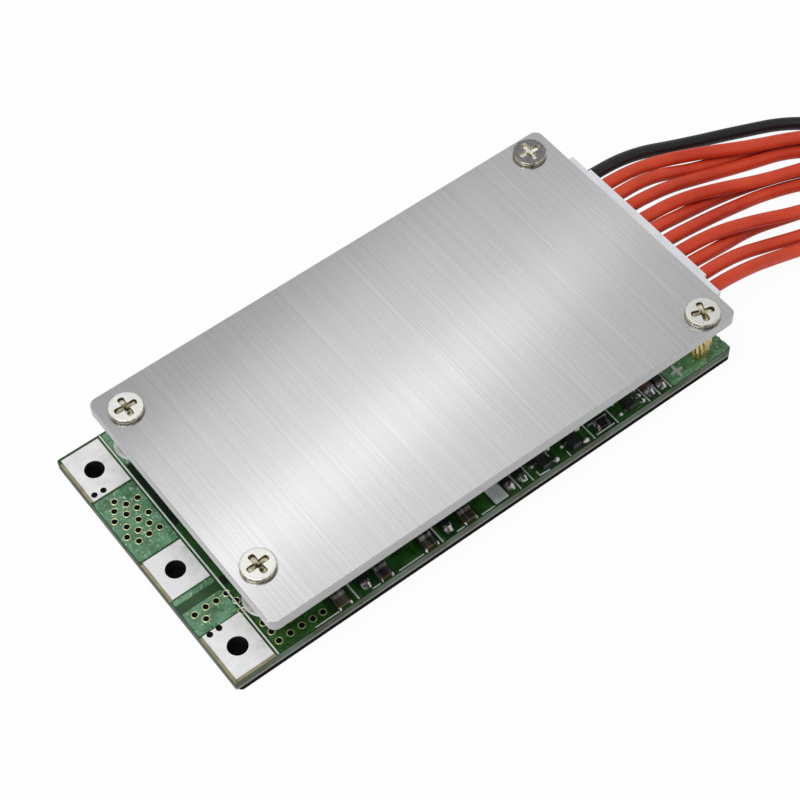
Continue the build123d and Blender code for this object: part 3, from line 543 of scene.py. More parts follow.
# A darker copy of the lacquered copper: painted shade for the copper under the plate.
SHADED_COPPER_LACQUER = lacquered_copper("shaded_lacquered_copper", shade(24, 66, 16), shade(48, 100, 36),
                               shade(96, 140, 92), 0.3)
LAMINATE = moulded("bare_laminate", shade(136, 128, 96), shade(166, 158, 126), 0.7, 2200)
SHADED_LACQUER = moulded("shaded_lacquer", shade(8, 24, 12), shade(14, 36, 18), 0.3, 900)
PALE_GOLD = bare_metal("pale_gold", shade(190, 196, 140), shade(228, 232, 184), 0.3, 0.7, 2400)
# Near-black discs for the holes' bores: painted shade over the black sheet beneath.
SHADED_BORE = moulded("shaded_bore", shade(8, 9, 8), shade(16, 17, 15), 0.9, 2400, 0.00001, 0.1)
INK = moulded("white_ink", shade(198, 208, 204), shade(226, 232, 230), 0.6, 2500)

NODE_FINISHES = {
    "circuit_board": GREEN,
    "adhesive_film": FILM,
    "insulating_sheet": BLACK_SHEET,
    "heat_spreader_plate": ALUMINIUM,
    "cover_screws": NICKEL,
    "standoffs": BRASS,
    "solder_rings": RING_TIN,
    "thermal_pad": SILICONE,
    "power_lead_frames": LEAD,
    "chip_resistors": CERAMIC,
    "balance_resistors": CERAMIC,
    "chip_capacitors": CAPACITOR,
    "chip_end_caps": SOLDER,
    "edge_regulator": MOULDING,
    "balance_transistors": MOULDING,
    "small_leads": LEAD,
    "protection_chip": MOULDING,
    "driver_chip": MOULDING,
    "chip_leads": LEAD,
    "header_housing": NYLON,
    "header_pins": LEAD,
    "plug_housing": NYLON,
    "crimp_contacts": LEAD,
    "coil_tie": TIE_NYLON,
}
for stem, count, finish in (("terminal_pad", 3, TINNED), ("power_transistor", 8, MOULDING),
                            ("sense_resistor", 4, STRIP), ("edge_transistor", 2, MOULDING)):
    for number in range(1, count + 1):
        NODE_FINISHES[f"{stem}_{number}"] = finish


def finish_nodes():
    for name, material in NODE_FINISHES.items():
        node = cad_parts[name]
        if not node.material_slots:
            node.data.materials.append(None)
        for holder in node.material_slots:
            holder.link = "OBJECT"
            holder.material = material


finish_nodes()


# Rings of points that become solids.

def turned_point(x, y, radius, angle):
    return (x + radius * math.cos(angle), y + radius * math.sin(angle))


def skinned(faces, starts, count, capped=True):
    """Bridge rings of points, each to the next, and cap the first and last unless they meet."""
    for low, high in zip(starts, starts[1:]):
        for k in range(count):
            after = (k + 1) % count
            faces.append((low + k, low + after, high + after, high + k))
    if capped:
        faces.append(tuple(starts[0] + k for k in reversed(range(count))))
        faces.append(tuple(starts[-1] + k for k in range(count)))


def outward(mesh):
    """The mesh with every face turned outwards."""
    work = bmesh.new()
    work.from_mesh(mesh)
    bmesh.ops.recalc_face_normals(work, faces=work.faces)
    work.to_mesh(mesh)
    work.free()
    return mesh


def solid_mesh(name, verts, faces, smooth_faces):
    mesh = bpy.data.meshes.new(name)
    mesh.from_pydata(verts, [], faces)
    outward(mesh)
    for face in mesh.polygons:
        face.use_smooth = smooth_faces
    return mesh


# Harness.

def smooth(value):
    v = min(1.0, max(0.0, value))
    return v * v * (3 - 2 * v)


def way_y(way):
    return FIRST_WAY_Y - way * WAY_PITCH


def path_length(points):
    return sum((Vector(b) - Vector(a)).length for a, b in zip(points, points[1:]))


def lane_point(way, turned, outward_share=1.0):
    """A point of a wire's lane in the coil, after that many radians of turning."""
    radius, row = LANES[way]
    angle = COIL_START + turned
    away = (angle - TIE_ANGLE + math.pi) % (2 * math.pi) - math.pi
    tied = 1 - smooth(abs(away) / TIE_REACH)
    climb = smooth((turned - CLIMB_FROM) / (CLIMB_TO - CLIMB_FROM))
    free_level = LANE_LEVELS[row] + SECOND_TURN_RISE * climb
    tied_level = TIED_LEVELS[row] + TIED_RISE * climb
    level = free_level + (tied_level - free_level) * tied
    radius = COIL_MID + (radius - COIL_MID) * (1 - TIED_SQUEEZE * tied)
    x, y = turned_point(*COIL_CENTRE, radius * outward_share, angle)
    return (x, y, level)


def wire_points(way):
    """A wire's own points in millimetres, and how far it turns in the coil."""
    start = (WIRE_START_X, way_y(way), WIRE_START_LEVEL)
    points = [start] + list(ROUTES[way])
    spare = WIRE_LENGTH - path_length(points + [lane_point(way, 0.0)])
    turning = spare / LANES[way][0]
    step = 2 * math.pi / POINTS_PER_TURN
    wide = 1 / math.cos(step / 2)
    turned = -step / 2
    while turned < turning - step * LAST_STEP_SHARE:
        points.append(lane_point(way, turned, wide))
        turned += step
    points.append(lane_point(way, turning))
    return points, turning


def lay_wire(way, name, cover):
    """A wire as a smooth round curve through its whole route, and how far it turns in the coil."""
    points, turning = wire_points(way)
    curve = bpy.data.curves.new(name, "CURVE")
    curve.dimensions = "3D"
    curve.resolution_u = WIRE_CURVE_STEPS
    curve.bevel_depth = WIRE_RADIUS * MM
    curve.bevel_resolution = WIRE_SECTION_STEPS
    curve.use_fill_caps = True
    spline = curve.splines.new("NURBS")
    spline.points.add(len(points) - 1)
    for control, (x, y, z) in zip(spline.points, points):
        control.co = (x * MM, y * MM, z * MM, 1.0)
    spline.order_u = 3
    spline.use_endpoint_u = True
    curve.materials.append(cover)
    return link(name, curve), turning


def swept_rod(name, line, sizes, count):
    """A closed round rod along a few points, with its own radius at each."""
    verts, faces = [], []
    last = len(line) - 1
    for index, (point, size) in enumerate(zip(line, sizes)):
        ahead = (line[min(index + 1, last)] - line[max(index - 1, 0)]).normalized()
        side = ahead.cross(Vector((0, 0, 1))).normalized()
        over = side.cross(ahead)
        for step in range(count):
            across, up = turned_point(0.0, 0.0, size, 2 * math.pi * step / count)
            verts.append(tuple(point + side * across + over * up))
    skinned(faces, range(0, len(verts), count), count)
    return solid_mesh(name, verts, faces, True)


def lay_tip(way, name, turning):
    """The bare tinned end of a wire, on the line that its lane goes on along."""
    radius = LANES[way][0]
    level = lane_point(way, turning)[2]
    whole = TIP_REACH + TIP_INSIDE
    line = []
    for k in range(TIP_POINTS):
        turned = turning + (whole * k / (TIP_POINTS - 1) - TIP_INSIDE) / radius
        x, y, _ = lane_point(way, turned)
        line.append(Vector((x * MM, y * MM, level * MM)))
    shares = TIP_ROUNDING + (1.0,) * (TIP_POINTS - 2 * len(TIP_ROUNDING)) + TIP_ROUNDING[::-1]
    mesh = swept_rod(name, line, [TIP_RADIUS * MM * share for share in shares], TIP_SIDES)
    mesh.materials.append(LEAD)
    tip = link(name, mesh)
    return tip


def lay_harness():
    for way in range(len(ROUTES)):
        black = way == 0
        node = "wire_black" if black else f"wire_red_{way}"
        wire, turning = lay_wire(way, "lead_" + node, BLACK_COVER if black else RED_COVER)
        tip = lay_tip(way, "tinned_tip_" + node, turning)
        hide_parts(node, "wire_coil")
        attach(wire, "root")
        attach(tip, "root")


lay_harness()


# What the board carries: printed ink, copper under the lacquer, plated holes and solder.

VIAS = (
    (-37.7, 10.4), (-38.5, 9.2), (-36.7, 9.2), (-35.0, 9.1), (-39.3, 7.9), (-37.5, 7.9),
    (-35.9, 7.9), (-38.5, 6.3), (-36.7, 6.3), (-35.1, 6.4), (-39.3, 5.0), (-37.6, 5.0),
    (-35.9, 5.0), (-38.4, 3.6), (-36.8, 3.7), (-35.2, 3.7),
    (-38.8, -9.5), (-37.1, -9.4), (-35.6, -9.5), (-34.0, -9.4), (-38.0, -10.8),
    (-33.6, -11.0), (-33.9, -12.6),
    (-32.8, -15.6), (-32.7, -17.2), (-32.7, -18.8), (-31.0, -18.8), (-29.3, -18.8),
    (-27.7, -18.9), (-26.2, -18.9),
)
PAD_PINHOLES = ((-37.9, 12.7), (-39.2, 12.8), (-37.5, -12.9), (-38.9, -12.95))
OPEN_COPPER = (
    (-40.1, -34.15, 0.95, 11.75), (-40.1, -34.15, -12.4, -8.5), (-40.1, -34.15, -7.1, -6.3),
    (-33.6, -30.0, 14.2, 20.1),
)
# The board's right end, laid in the lighter lacquer as painted light.
END_AREA = ((29.7, 39.65, -20.25, -12.0),)
SHADED_AREA = ((-33.6, -32.8, 2.7, 14.0), (-33.6, -32.8, -8.4, -6.9))
# Copper under the plate, laid in the darker lacquer as painted shade.
COVERED_COPPER = (
    (-32.7, -20.0, 1.9, 13.6), (-32.7, -20.0, -7.2, 0.8), (-33.45, -25.5, -20.15, -8.6),
    (-22.0, -20.9, -20.1, -12.0), (-15.9, -11.6, -20.1, -12.0), (-8.3, -8.0, -20.1, -12.0),
    (-2.4, -0.3, -20.1, -12.0), (2.5, 7.0, -20.1, -16.0), (10.6, 12.4, -20.1, -16.0),
    (15.2, 16.2, -20.1, -16.0), (20.5, 25.5, -20.1, -16.0),
)
INK_LINES = (
    ((-33.8, 20.1), (-33.8, -20.2), 0.2),
    ((-28.1, -20.1), (-24.5, -20.1), 0.16), ((-19.4, -20.1), (-18.3, -20.1), 0.16),
    ((-15.3, -20.1), (-11.5, -20.1), 0.16), ((-6.2, -20.1), (-5.1, -20.1), 0.16),
    ((-2.2, -20.1), (-0.2, -20.1), 0.16),
    ((-21.6, -17.6), (-21.6, -20.1), 0.24), ((-8.5, -17.6), (-8.5, -20.1), 0.24),
    ((4.05, -17.6), (4.05, -20.1), 0.2), ((6.1, -17.6), (6.1, -20.1), 0.2),
    ((16.35, -17.6), (16.35, -20.1), 0.2), ((20.3, -17.6), (20.3, -20.1), 0.2),
    ((25.7, -17.6), (25.7, -20.1), 0.2), ((27.5, -17.6), (27.5, -20.1), 0.2),
    ((29.4, -17.6), (29.4, -20.1), 0.2),
    ((7.2, -19.4), (7.2, -20.1), 0.18), ((7.2, -20.1), (8.7, -20.2), 0.18),
    ((9.9, -17.9), (9.9, -18.6), 0.18), ((12.2, -19.5), (12.2, -20.2), 0.18),
    ((16.9, -18.1), (19.8, -18.1), 0.16), ((16.9, -19.9), (19.8, -19.9), 0.16),
    ((30.8, -18.7), (32.45, -18.7), 0.4), ((31.62, -19.55), (31.62, -17.85), 0.4),
)
INK_BLOCK = (0.1, 2.2, -20.05, -17.0)

# Thin solids on the board, in millimetres: how far each sinks in, stands up and breaks at its edge.
SINK = 0.01
INK_HEIGHTS = (0.062, 0.055)
INK_BLOCK_HEIGHT = 0.05
INK_EDGE = 0.015
INK_BLOCK_CORNER = 0.1
COPPER_HEIGHT = 0.04
COPPER_CORNER = 0.35
MARGIN_HEIGHT = 0.02
MARGIN_EDGE = 0.01
MARGIN_CORNER = 0.08
MARGINS = (
    (-40.22, -39.8, -20.3, -12.6), (-39.9, -34.1, -20.3, -19.85),
    (-40.22, -39.8, 12.1, 19.5), (-40.22, -39.8, -6.2, 0.5),
)
COPPERS = (
    ("open_copper", OPEN_COPPER, GREEN_COPPER), ("lit_end_copper", END_AREA, LIT_END_COPPER),
    ("shaded_laminate", SHADED_AREA, SHADED_LACQUER), ("shaded_covered_copper", COVERED_COPPER, SHADED_COPPER_LACQUER),
)
CORNER_STEPS = 4
STROKE_END_STEPS = 6


def flat_shape(parts, outline, height, edge):
    """Add a thin solid on the board, with a broken upper edge, over a convex outline."""
    verts, faces = parts
    centre = sum((Vector(p) for p in outline), Vector((0, 0))) / len(outline)
    starts = []
    top = BOARD_TOP + height
    for level, inset in ((BOARD_TOP - SINK, 0.0), (top - edge, 0.0), (top, edge)):
        starts.append(len(verts))
        for x, y in outline:
            away = Vector((x, y)) - centre
            inner = centre + away * (1 - inset / max(away.length, 1e-6))
            verts.append((inner.x * MM, inner.y * MM, level * MM))
    skinned(faces, starts, len(outline))


def rounded_box(x0, x1, y0, y1, corner):
    """A rectangle's outline with rounded corners, anticlockwise."""
    corner = min(corner, (x1 - x0) / 2.01, (y1 - y0) / 2.01)
    outline = []
    corners = ((x1 - corner, y1 - corner, 0), (x0 + corner, y1 - corner, 90),
               (x0 + corner, y0 + corner, 180), (x1 - corner, y0 + corner, 270))
    for x, y, start in corners:
        for k in range(CORNER_STEPS + 1):
            outline.append(turned_point(x, y, corner, math.radians(start + 90 * k / CORNER_STEPS)))
    return outline


def line_outline(start, end, width):
    """A straight stroke's outline with round ends."""
    a, b = Vector(start), Vector(end)
    along = (b - a).normalized()
    heading = math.atan2(along.y, along.x)
    outline = []
    for centre, turn in ((b, -90), (a, 90)):
        for k in range(STROKE_END_STEPS + 1):
            angle = heading + math.radians(turn + 180 * k / STROKE_END_STEPS)
            outline.append(turned_point(*centre, width / 2, angle))
    return outline


def made_piece(name, parts, material, smooth_faces=False):
    mesh = solid_mesh(name, *parts, smooth_faces)
    mesh.materials.append(material)
    piece = link(name, mesh)
    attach(piece, "root")
    return piece


def print_ink():
    """The printed lines, at two heights in turn so that crossing ones don't lie level."""
    parts = ([], [])
    for number, (start, end, width) in enumerate(INK_LINES):
        flat_shape(parts, line_outline(start, end, width), INK_HEIGHTS[number % 2], INK_EDGE)
    flat_shape(parts, rounded_box(*INK_BLOCK, INK_BLOCK_CORNER), INK_BLOCK_HEIGHT, INK_EDGE)
    made_piece("printed_ink", parts, INK)


def lay_areas(name, areas, material, corner, height, edge):
    parts = ([], [])
    for area in areas:
        flat_shape(parts, rounded_box(*area, corner), height, edge)
    made_piece(name, parts, material)


def lay_copper():
    for name, areas, lacquer in COPPERS:
        lay_areas(name, areas, lacquer, COPPER_CORNER, COPPER_HEIGHT, COPPER_HEIGHT)


def bare_margin():
    """The strip of bare laminate between the pads and the board's cut edges."""
    lay_areas("bare_laminate", MARGINS, LAMINATE, MARGIN_CORNER, MARGIN_HEIGHT, MARGIN_EDGE)


def tree_of(name, sizes):
    """A node tree that takes marked places and named sizes, and gives one geometry."""
    tree = bpy.data.node_groups.new(name, "GeometryNodeTree")
    tree.interface.new_socket("Places", in_out="INPUT", socket_type="NodeSocketGeometry")
    for label in sizes:
        tree.interface.new_socket(label, in_out="INPUT", socket_type="NodeSocketFloat")
    tree.interface.new_socket("Made", in_out="OUTPUT", socket_type="NodeSocketGeometry")
    return tree, tree.nodes.new("NodeGroupInput").outputs


def repeated(tree, places, shape, material):
    """Finish a tree: the shape on every marked place, as real geometry in one material."""
    spread = add_node(tree, "GeometryNodeInstanceOnPoints", {"Points": places, "Instance": shape})
    real = add_node(tree, "GeometryNodeRealizeInstances", {"Geometry": spread.outputs["Instances"]})
    paint = add_node(tree, "GeometryNodeSetMaterial", {
        "Geometry": real.outputs["Geometry"], "Material": material})
    add_node(tree, "NodeGroupOutput", {"Made": paint.outputs["Geometry"]})
    return tree


def grown(name, tree, places, sizes, smooth_faces=True):
    """A plain mesh piece that a node tree makes at marked places, given in millimetres."""
    seed = bpy.data.meshes.new(name)
    seed.from_pydata([(x * MM, y * MM, z * MM) for x, y, z in places], [], [])
    holder = link(name + "_seed", seed)
    grower = holder.modifiers.new("grow", "NODES")
    grower.node_group = tree
    for item in tree.interface.items_tree:
        if item.item_type == "SOCKET" and item.in_out == "INPUT" and item.name in sizes:
            grower[item.identifier] = float(sizes[item.name])
    graph = bpy.context.evaluated_depsgraph_get()
    mesh = bpy.data.meshes.new_from_object(holder.evaluated_get(graph), depsgraph=graph)
    bpy.data.objects.remove(holder)
    for face in mesh.polygons:
        face.use_smooth = smooth_faces
    piece = link(name, mesh)
    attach(piece, "root")
    return piece


def position_in(tree):
    """The three coordinates of each point of a shape in a tree."""
    position = add_node(tree, "GeometryNodeInputPosition").outputs[0]
    return add_node(tree, "ShaderNodeSeparateXYZ", {0: position}).outputs


def marked(tree, geometry, label, value):
    """The geometry with a value stored on its points under a name that a material reads."""
    return add_node(tree, "GeometryNodeStoreNamedAttribute", {
        "Geometry": geometry, "Name": label, "Value": value}, data_type="FLOAT",
        domain="POINT").outputs["Geometry"]


RIM_SIZES = {"Rim radius": 0.45 * MM, "Rim thickness": 0.085 * MM, "Flatness": 0.35}
RIM_STEPS = 24
RIM_SECTION_STEPS = 8
BORE_SIZES = {"Disc radius": 0.38 * MM, "Disc thickness": 0.03 * MM}
PINHOLE_SIZES = {"Disc radius": 0.42 * MM, "Disc thickness": 0.02 * MM}
DISC_STEPS = 20


def rim_tree(material):
    """A flattened round rim at every place."""
    tree, enter = tree_of("plated_rims", RIM_SIZES)
    path = add_node(tree, "GeometryNodeCurvePrimitiveCircle", {
        "Resolution": RIM_STEPS, "Radius": enter["Rim radius"]})
    section = add_node(tree, "GeometryNodeCurvePrimitiveCircle", {
        "Resolution": RIM_SECTION_STEPS, "Radius": enter["Rim thickness"]})
    rim = add_node(tree, "GeometryNodeCurveToMesh", {
        "Curve": path.outputs["Curve"], "Profile Curve": section.outputs["Curve"]})
    scale = add_node(tree, "ShaderNodeCombineXYZ", {0: 1.0, 1: 1.0, 2: enter["Flatness"]})
    flat = add_node(tree, "GeometryNodeTransform", {
        "Geometry": rim.outputs["Mesh"], "Scale": scale.outputs[0]})
    return repeated(tree, enter["Places"], flat.outputs["Geometry"], material)


def disc_tree(material):
    """A thin round disc at every place."""
    tree, enter = tree_of("dark_bores", BORE_SIZES)
    disc = add_node(tree, "GeometryNodeMeshCylinder", {
        "Vertices": DISC_STEPS, "Radius": enter["Disc radius"], "Depth": enter["Disc thickness"]})
    return repeated(tree, enter["Places"], disc.outputs["Mesh"], material)


def plate_holes():
    places = [(x, y, BOARD_TOP + COPPER_HEIGHT) for x, y in VIAS]
    grown("via_rims", rim_tree(PALE_GOLD), places, RIM_SIZES)
    # Via bores and pad pinholes are near-black discs, painted shade for the holes.
    dark = disc_tree(SHADED_BORE)
    grown("via_bores", dark, places, BORE_SIZES, False)
    places = [(x, y, PAD_TOP) for x, y in PAD_PINHOLES]
    grown("pad_pinholes", dark, places, PINHOLE_SIZES, False)


BEAD_LABELS = ("Bead width", "Bead length", "Bead height")
BEAD_SEGMENTS = 14
BEAD_RINGS = 8
# How strongly the painted highlight on a bead rises towards its right and its top.
BEAD_LIGHT = (0.9, 0.5)
WEDGE_SIZES = {"Foot width": 1.3 * MM, "Foot length": 0.75 * MM, "Climb": 0.5 * MM}
WEDGE_STEPS = {"Vertices X": 9, "Vertices Y": 7, "Vertices Z": 2}
WEDGE_EDGE = 0.02 * MM
WEDGE_HOLLOW = 2.2
WEDGE_ROUNDING = (3.0, 0.8)
WEDGE_NARROWING = -0.3
# How strongly the painted highlight on a fillet rises towards its right side.
WEDGE_LIGHT = 2.4
SOLDER_LEVEL = BOARD_TOP + 0.05
STRIP_FOOT_Y = -19.95

WEDGES = ((-19.8, -19.4), (-6.9, -19.3), (3.1, -19.3), (5.15, -19.3), (26.6, -19.3), (28.5, -19.4))

# Each group of beads: its name, places, and a bead's width, length and height.
BEADS = (
    ("lead_fillets", ((10.3, -19.6), (10.3, -17.6), (15.2, -19.7), (15.3, -17.6), (24.9, -18.6),
                      (24.9, -19.5), (24.9, -17.5)), (0.52, 0.36, 0.3)),
    ("small_fillets", ((7.0, -18.5), (12.0, -18.5), (21.3, -17.5), (21.3, -19.4)), (0.4, 0.26, 0.2)),
    ("strip_fillets", tuple((x, STRIP_FOOT_Y) for x in (
        -24.35, -22.65, -17.95, -16.3, -11.0, -9.2, -4.8, -3.05)), (0.2, 0.3, 0.4)),
)


def dome_tree(material):
    """A low rounded bead at every place, stretched along the board's two ways."""
    tree, enter = tree_of("solder_beads", BEAD_LABELS)
    ball = add_node(tree, "GeometryNodeMeshUVSphere", {
        "Segments": BEAD_SEGMENTS, "Rings": BEAD_RINGS, "Radius": 1.0})
    scale = add_node(tree, "ShaderNodeCombineXYZ", dict(enumerate(enter[label] for label in BEAD_LABELS)))
    place = position_in(tree)
    # The shoulder mark sets the painted highlight, brightest on the bead's right and upper side.
    aside, above = (worked(tree, "MULTIPLY", place[axis], share) for axis, share in zip((0, 2), BEAD_LIGHT))
    lit = worked(tree, "ADD", aside, above)
    shape = add_node(tree, "GeometryNodeTransform", {
        "Geometry": marked(tree, ball.outputs["Mesh"], "shoulder", lit), "Scale": scale.outputs[0]})
    return repeated(tree, enter["Places"], shape.outputs["Geometry"], material)


def wedge_tree(material):
    """A solder fillet at every place: high against the part, hollow, running out to a thin edge."""
    tree, enter = tree_of("solder_wedges", WEDGE_SIZES)
    result = partial(worked, tree)
    width, length = enter["Foot width"], enter["Foot length"]
    size = add_node(tree, "ShaderNodeCombineXYZ", {0: width, 1: length, 2: WEDGE_EDGE})
    block = add_node(tree, "GeometryNodeMeshCube", {"Size": size.outputs[0], **WEDGE_STEPS})
    x, y, z = position_in(tree)
    along = result("ADD", result("DIVIDE", y, length), 0.5)
    aside = result("ABSOLUTE", result("DIVIDE", x, width))
    hollow = result("POWER", result("MAXIMUM", along, 0.0), WEDGE_HOLLOW)
    power, share = WEDGE_ROUNDING
    rounding = result("MULTIPLY", result("POWER", result("MULTIPLY", aside, 2.0), power), share)
    shoulder = result("SUBTRACT", 1.0, rounding)
    upper = result("GREATER_THAN", z, 0.0)
    lift = result("MULTIPLY", result("MULTIPLY", hollow, shoulder), enter["Climb"])
    narrowing = result("MULTIPLY", result("SUBTRACT", 1.0, along), WEDGE_NARROWING)
    offset = add_node(tree, "ShaderNodeCombineXYZ", {
        0: result("MULTIPLY", x, narrowing), 2: result("MULTIPLY", lift, upper)})
    move = add_node(tree, "GeometryNodeSetPosition", {
        "Geometry": block.outputs["Mesh"], "Offset": offset.outputs[0]})
    # The shoulder mark sets the painted highlight, on the fillet's right side.
    lit = result("MULTIPLY", result("DIVIDE", x, width), WEDGE_LIGHT)
    shape = marked(tree, move.outputs["Geometry"], "shoulder", lit)
    return repeated(tree, enter["Places"], shape, material)


def on_solder_level(spots):
    return [(x, y, SOLDER_LEVEL) for x, y in spots]


def solder_parts():
    bead = dome_tree(SOLDER)
    grown("end_fillets", wedge_tree(SOLDER), on_solder_level(WEDGES), WEDGE_SIZES)
    for name, spots, size in BEADS:
        sizes = {label: value * MM for label, value in zip(BEAD_LABELS, size)}
        grown(name, bead, on_solder_level(spots), sizes)


STANDOFF_SIZES = {
    "Sleeve radius": 1.8 * MM, "Ridge depth": 0.26 * MM, "Ridge count": 17, "Lean": 110.0,
    "Bore radius": 1.28 * MM, "Bore depth": 4.3 * MM, "Stub radius": 1.2 * MM, "Stub length": 1.4 * MM,
}
SLEEVE_STEPS = {"Vertices": 112, "Side Segments": 16}
BAR_STEPS = 40
OVERRUN = 0.1 * MM

# Added before the fold into ridges, so that it never works on a number below zero.
RIDGE_SHIFT = 1000.0


def round_bar(tree, radius, low, high):
    """An upright round bar between two levels."""
    height = worked(tree, "SUBTRACT", high, low)
    middle = worked(tree, "MULTIPLY", worked(tree, "ADD", high, low), 0.5)
    bar = add_node(tree, "GeometryNodeMeshCylinder", {
        "Vertices": BAR_STEPS, "Radius": radius, "Depth": height})
    centre = add_node(tree, "ShaderNodeCombineXYZ", {2: middle})
    return add_node(tree, "GeometryNodeTransform", {
        "Geometry": bar.outputs["Mesh"], "Translation": centre.outputs[0]}).outputs["Geometry"]


def knurl_tree(material):
    """A standoff: a sleeve cut into ridges that lean round it, bored from above, on a stub."""
    tree, enter = tree_of("knurled_sleeves", ("Sleeve height", *STANDOFF_SIZES))
    result = partial(worked, tree)
    sleeve = add_node(tree, "GeometryNodeMeshCylinder", {
        "Radius": enter["Sleeve radius"], "Depth": enter["Sleeve height"], **SLEEVE_STEPS})
    x, y, z = position_in(tree)
    leaned = result("ADD", result("ARCTAN2", y, x), result("MULTIPLY", z, enter["Lean"]))
    ridges = result("MULTIPLY", leaned, result("DIVIDE", enter["Ridge count"], 2 * math.pi))
    rise = result("PINGPONG", result("ADD", ridges, RIDGE_SHIFT), 0.5)
    cut = result("MULTIPLY", result("MULTIPLY", rise, 2.0), enter["Ridge depth"])
    out = add_node(tree, "ShaderNodeCombineXYZ", {0: x, 1: y})
    unit = add_node(tree, "ShaderNodeVectorMath", {0: out.outputs[0]}, operation="NORMALIZE")
    inward = add_node(tree, "ShaderNodeVectorMath", {
        0: unit.outputs[0], "Scale": result("MULTIPLY", cut, -1.0)}, operation="SCALE")
    move = add_node(tree, "GeometryNodeSetPosition", {
        "Geometry": sleeve.outputs["Mesh"], "Offset": inward.outputs[0]})
    top = result("MULTIPLY", enter["Sleeve height"], 0.5)
    foot = result("MULTIPLY", top, -1.0)
    stub = round_bar(tree, enter["Stub radius"], result("SUBTRACT", foot, enter["Stub length"]),
                     result("ADD", foot, OVERRUN))
    bore = round_bar(tree, enter["Bore radius"], result("SUBTRACT", top, enter["Bore depth"]),
                     result("ADD", top, OVERRUN))
    joined = add_node(tree, "GeometryNodeMeshBoolean", {"Mesh 2": stub}, operation="UNION")
    tree.links.new(move.outputs["Geometry"], joined.inputs["Mesh 2"])
    bored = add_node(tree, "GeometryNodeMeshBoolean", {
        "Mesh 1": joined.outputs["Mesh"], "Mesh 2": bore}, operation="DIFFERENCE")
    return repeated(tree, enter["Places"], bored.outputs["Mesh"], material)


def raise_standoffs():
    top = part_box("standoffs")[1].z / MM
    places = [(x, y, (BOARD_TOP + top) / 2) for x, y in SCREW_PLACES]
    sizes = {"Sleeve height": (top - BOARD_TOP) * MM, **STANDOFF_SIZES}
    sleeves = grown("standoff_sleeves", knurl_tree(BRASS), places, sizes, False)
    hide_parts("standoffs")


# Screws, in millimetres and degrees. Steps are a radius or a share of the recess, and a level or depth.
AROUND = 96
RECESS_TURNS = (-3.0, -5.0, -20.0, 3.0)
RECESS_REACH = 1.62
RECESS_ARM = 0.36
RECESS_FLARE = 0.1
RECESS_LEAST_WALL = 0.01
RECESS_END_ROUNDING = 0.9
RECESS_CORNER_POWER = 6
RECESS_STEPS = ((1.0, 0.0), (0.96, 0.08), (0.91, 0.34), (0.78, 0.5), (0.6, 0.66), (0.42, 0.86), (0.22, 1.14))
RECESS_POINT = (0.1, 1.3)
HEAD_STEPS = ((2.26, 0.0), (2.33, 0.06), (2.33, 0.24), (2.27, 0.28), (2.33, 0.33), (2.33, 0.52),
              (2.29, 0.6), (2.2, 0.65))
HEAD_FACE_RADIUS = 1.95
SHANK_LENGTH = 5.0
SHANK_END = ((0.9, 0.0), (1.2, 0.3))
SHANK_NECK = (1.2, 0.02)
THREAD_FROM = 0.35
THREAD_TURN = 0.45
THREAD_RADII = (1.25, 1.08)
THREAD_MARGIN = 0.6
THREAD_COUNT = int((SHANK_LENGTH - THREAD_MARGIN) / THREAD_TURN)

# How much painted light each ring carries, from 0 for painted shade to 1 for painted highlight, and how
# bright each screw's face is painted, as a painted reflection.
SHANK_PAINTED_LIGHT = 0.2
HEAD_PAINTED_LIGHT = (0.0, 0.3, 0.9, 0.0, 0.1, 0.8, 0.5, 0.9, 0.9)
RECESS_PAINTED_LIGHT = (1.0, 0.1, 0.15, 0.7, 0.6, 0.4, 0.0)
FACE_PAINTED_REFLECTIONS = (1.0, 0.08, 0.85, 1.0)
DARK_FACE_TONE = 0.5
DARK_FACE_LIFT = 0.25
CRISP_ANGLE = 35


def recess_radius(angle):
    """How far the cross recess reaches at an angle: four flared arms with rounded ends."""
    folded = abs((angle + math.pi / 4) % (math.pi / 2) - math.pi / 4)
    reach = RECESS_REACH - RECESS_END_ROUNDING * folded ** 2
    wall = math.sin(folded) - RECESS_FLARE * math.cos(folded)
    if wall <= RECESS_LEAST_WALL:
        return reach
    side = RECESS_ARM / wall
    power = -RECESS_CORNER_POWER
    return (reach ** power + side ** power) ** (1 / power)


def recess_outline(scale, turned):
    """The radius rule of one ring of the recess."""
    return lambda angle: scale * recess_radius(angle - turned)


def lathe(parts, x, y, rings, capped=True):
    """Join rings of AROUND points into one solid. A ring is a radius, or a rule for it, and a level."""
    verts, faces = parts
    starts = []
    for radius, level in rings:
        starts.append(len(verts))
        for k in range(AROUND):
            angle = 2 * math.pi * k / AROUND
            reach = radius(angle) if callable(radius) else radius
            across, along = turned_point(x, y, reach, angle)
            verts.append((across * MM, along * MM, level * MM))
    skinned(faces, starts if capped else starts + starts[:1], AROUND, capped)


def shank_rings():
    """A screw's point, thread and neck, as rings below the seat of its head."""
    rings = [(radius, height - SHANK_LENGTH) for radius, height in SHANK_END]
    crest, root = THREAD_RADII
    for k in range(THREAD_COUNT):
        level = THREAD_FROM + k * THREAD_TURN - SHANK_LENGTH
        rings += [(crest, level), (root, level + THREAD_TURN / 2)]
    radius, drop = SHANK_NECK
    return rings + [(radius, -drop)]


def recess_rings(turn, top):
    rings = [(recess_outline(scale, math.radians(turn)), top - depth) for scale, depth in RECESS_STEPS]
    radius, depth = RECESS_POINT
    return rings + [(radius, top - depth)]


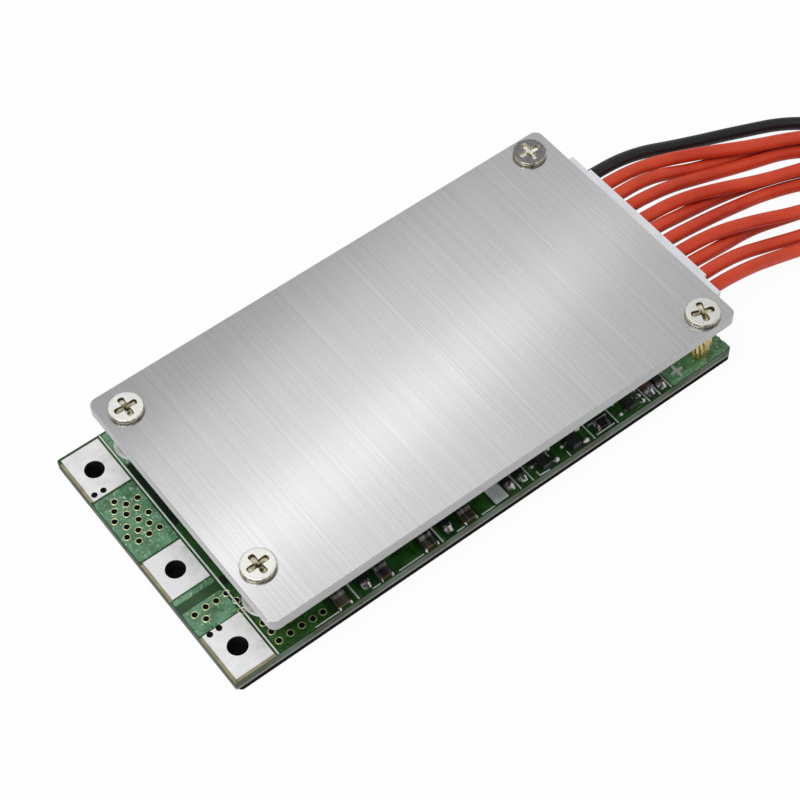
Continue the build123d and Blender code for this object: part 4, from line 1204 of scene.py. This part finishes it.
def turn_screws():
    """Four flat-headed screws, each with its recess turned its own way."""
    parts = ([], [])
    marks = {"recess": [], "tone": [], "painted_light": []}
    top = HEAD_STEPS[-1][1]
    for (x, y), turn, tone in zip(SCREW_PLACES, RECESS_TURNS, FACE_PAINTED_REFLECTIONS):
        shank = shank_rings()
        head = list(HEAD_STEPS) + [(HEAD_FACE_RADIUS, top)]
        recess = recess_rings(turn, top)
        rings = shank + head + recess
        lathe(parts, x, y, [(radius, PLATE_TOP + level) for radius, level in rings])
        # Screws with a dark painted face get more painted light in their recess.
        lift = DARK_FACE_LIFT if tone < DARK_FACE_TONE else 0.0
        painted_light = [SHANK_PAINTED_LIGHT] * len(shank) + list(HEAD_PAINTED_LIGHT)
        painted_light += [min(1.0, value + lift) for value in RECESS_PAINTED_LIGHT] + [0.0]
        inside = len(RECESS_STEPS)
        marks["painted_light"] += [value for value in painted_light for _ in range(AROUND)]
        marks["recess"] += [0.0] * ((len(rings) - inside) * AROUND) + [1.0] * (inside * AROUND)
        marks["tone"] += [tone] * (len(rings) * AROUND)
    screws = made_piece("screw_heads", parts, NICKEL, True)
    for label, values in marks.items():
        screws.data.attributes.new(label, "FLOAT", "POINT").data.foreach_set("value", values)
    crisp_edges(screws, CRISP_ANGLE)
    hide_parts("cover_screws")


RING_STEPS = ((1.98, 0.0), (2.7, 0.0), (2.75, 0.05), (2.72, 0.12), (2.6, 0.17), (2.2, 0.19),
              (2.05, 0.16), (1.98, 0.08))


def set_rings():
    """The two flat tinned rings round the standoffs at the pad end."""
    parts = ([], [])
    for x, y in (SCREW_PLACES[0], SCREW_PLACES[3]):
        lathe(parts, x, y, [(radius, BOARD_TOP + level) for radius, level in RING_STEPS], capped=False)
    rings = made_piece("tinned_rings", parts, RING_TIN, True)
    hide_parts("solder_rings")


def crisp_edges(piece, degrees):
    """Keep edges sharper than this angle crisp, and leave the rest smooth."""
    grid = bmesh.new()
    grid.from_mesh(piece.data)
    for edge in grid.edges:
        if len(edge.link_faces) == 2 and edge.calc_face_angle(0) > math.radians(degrees):
            edge.smooth = False
    grid.to_mesh(piece.data)
    grid.free()


print_ink()
turn_screws()
set_rings()
lay_copper()
bare_margin()
plate_holes()
solder_parts()
raise_standoffs()
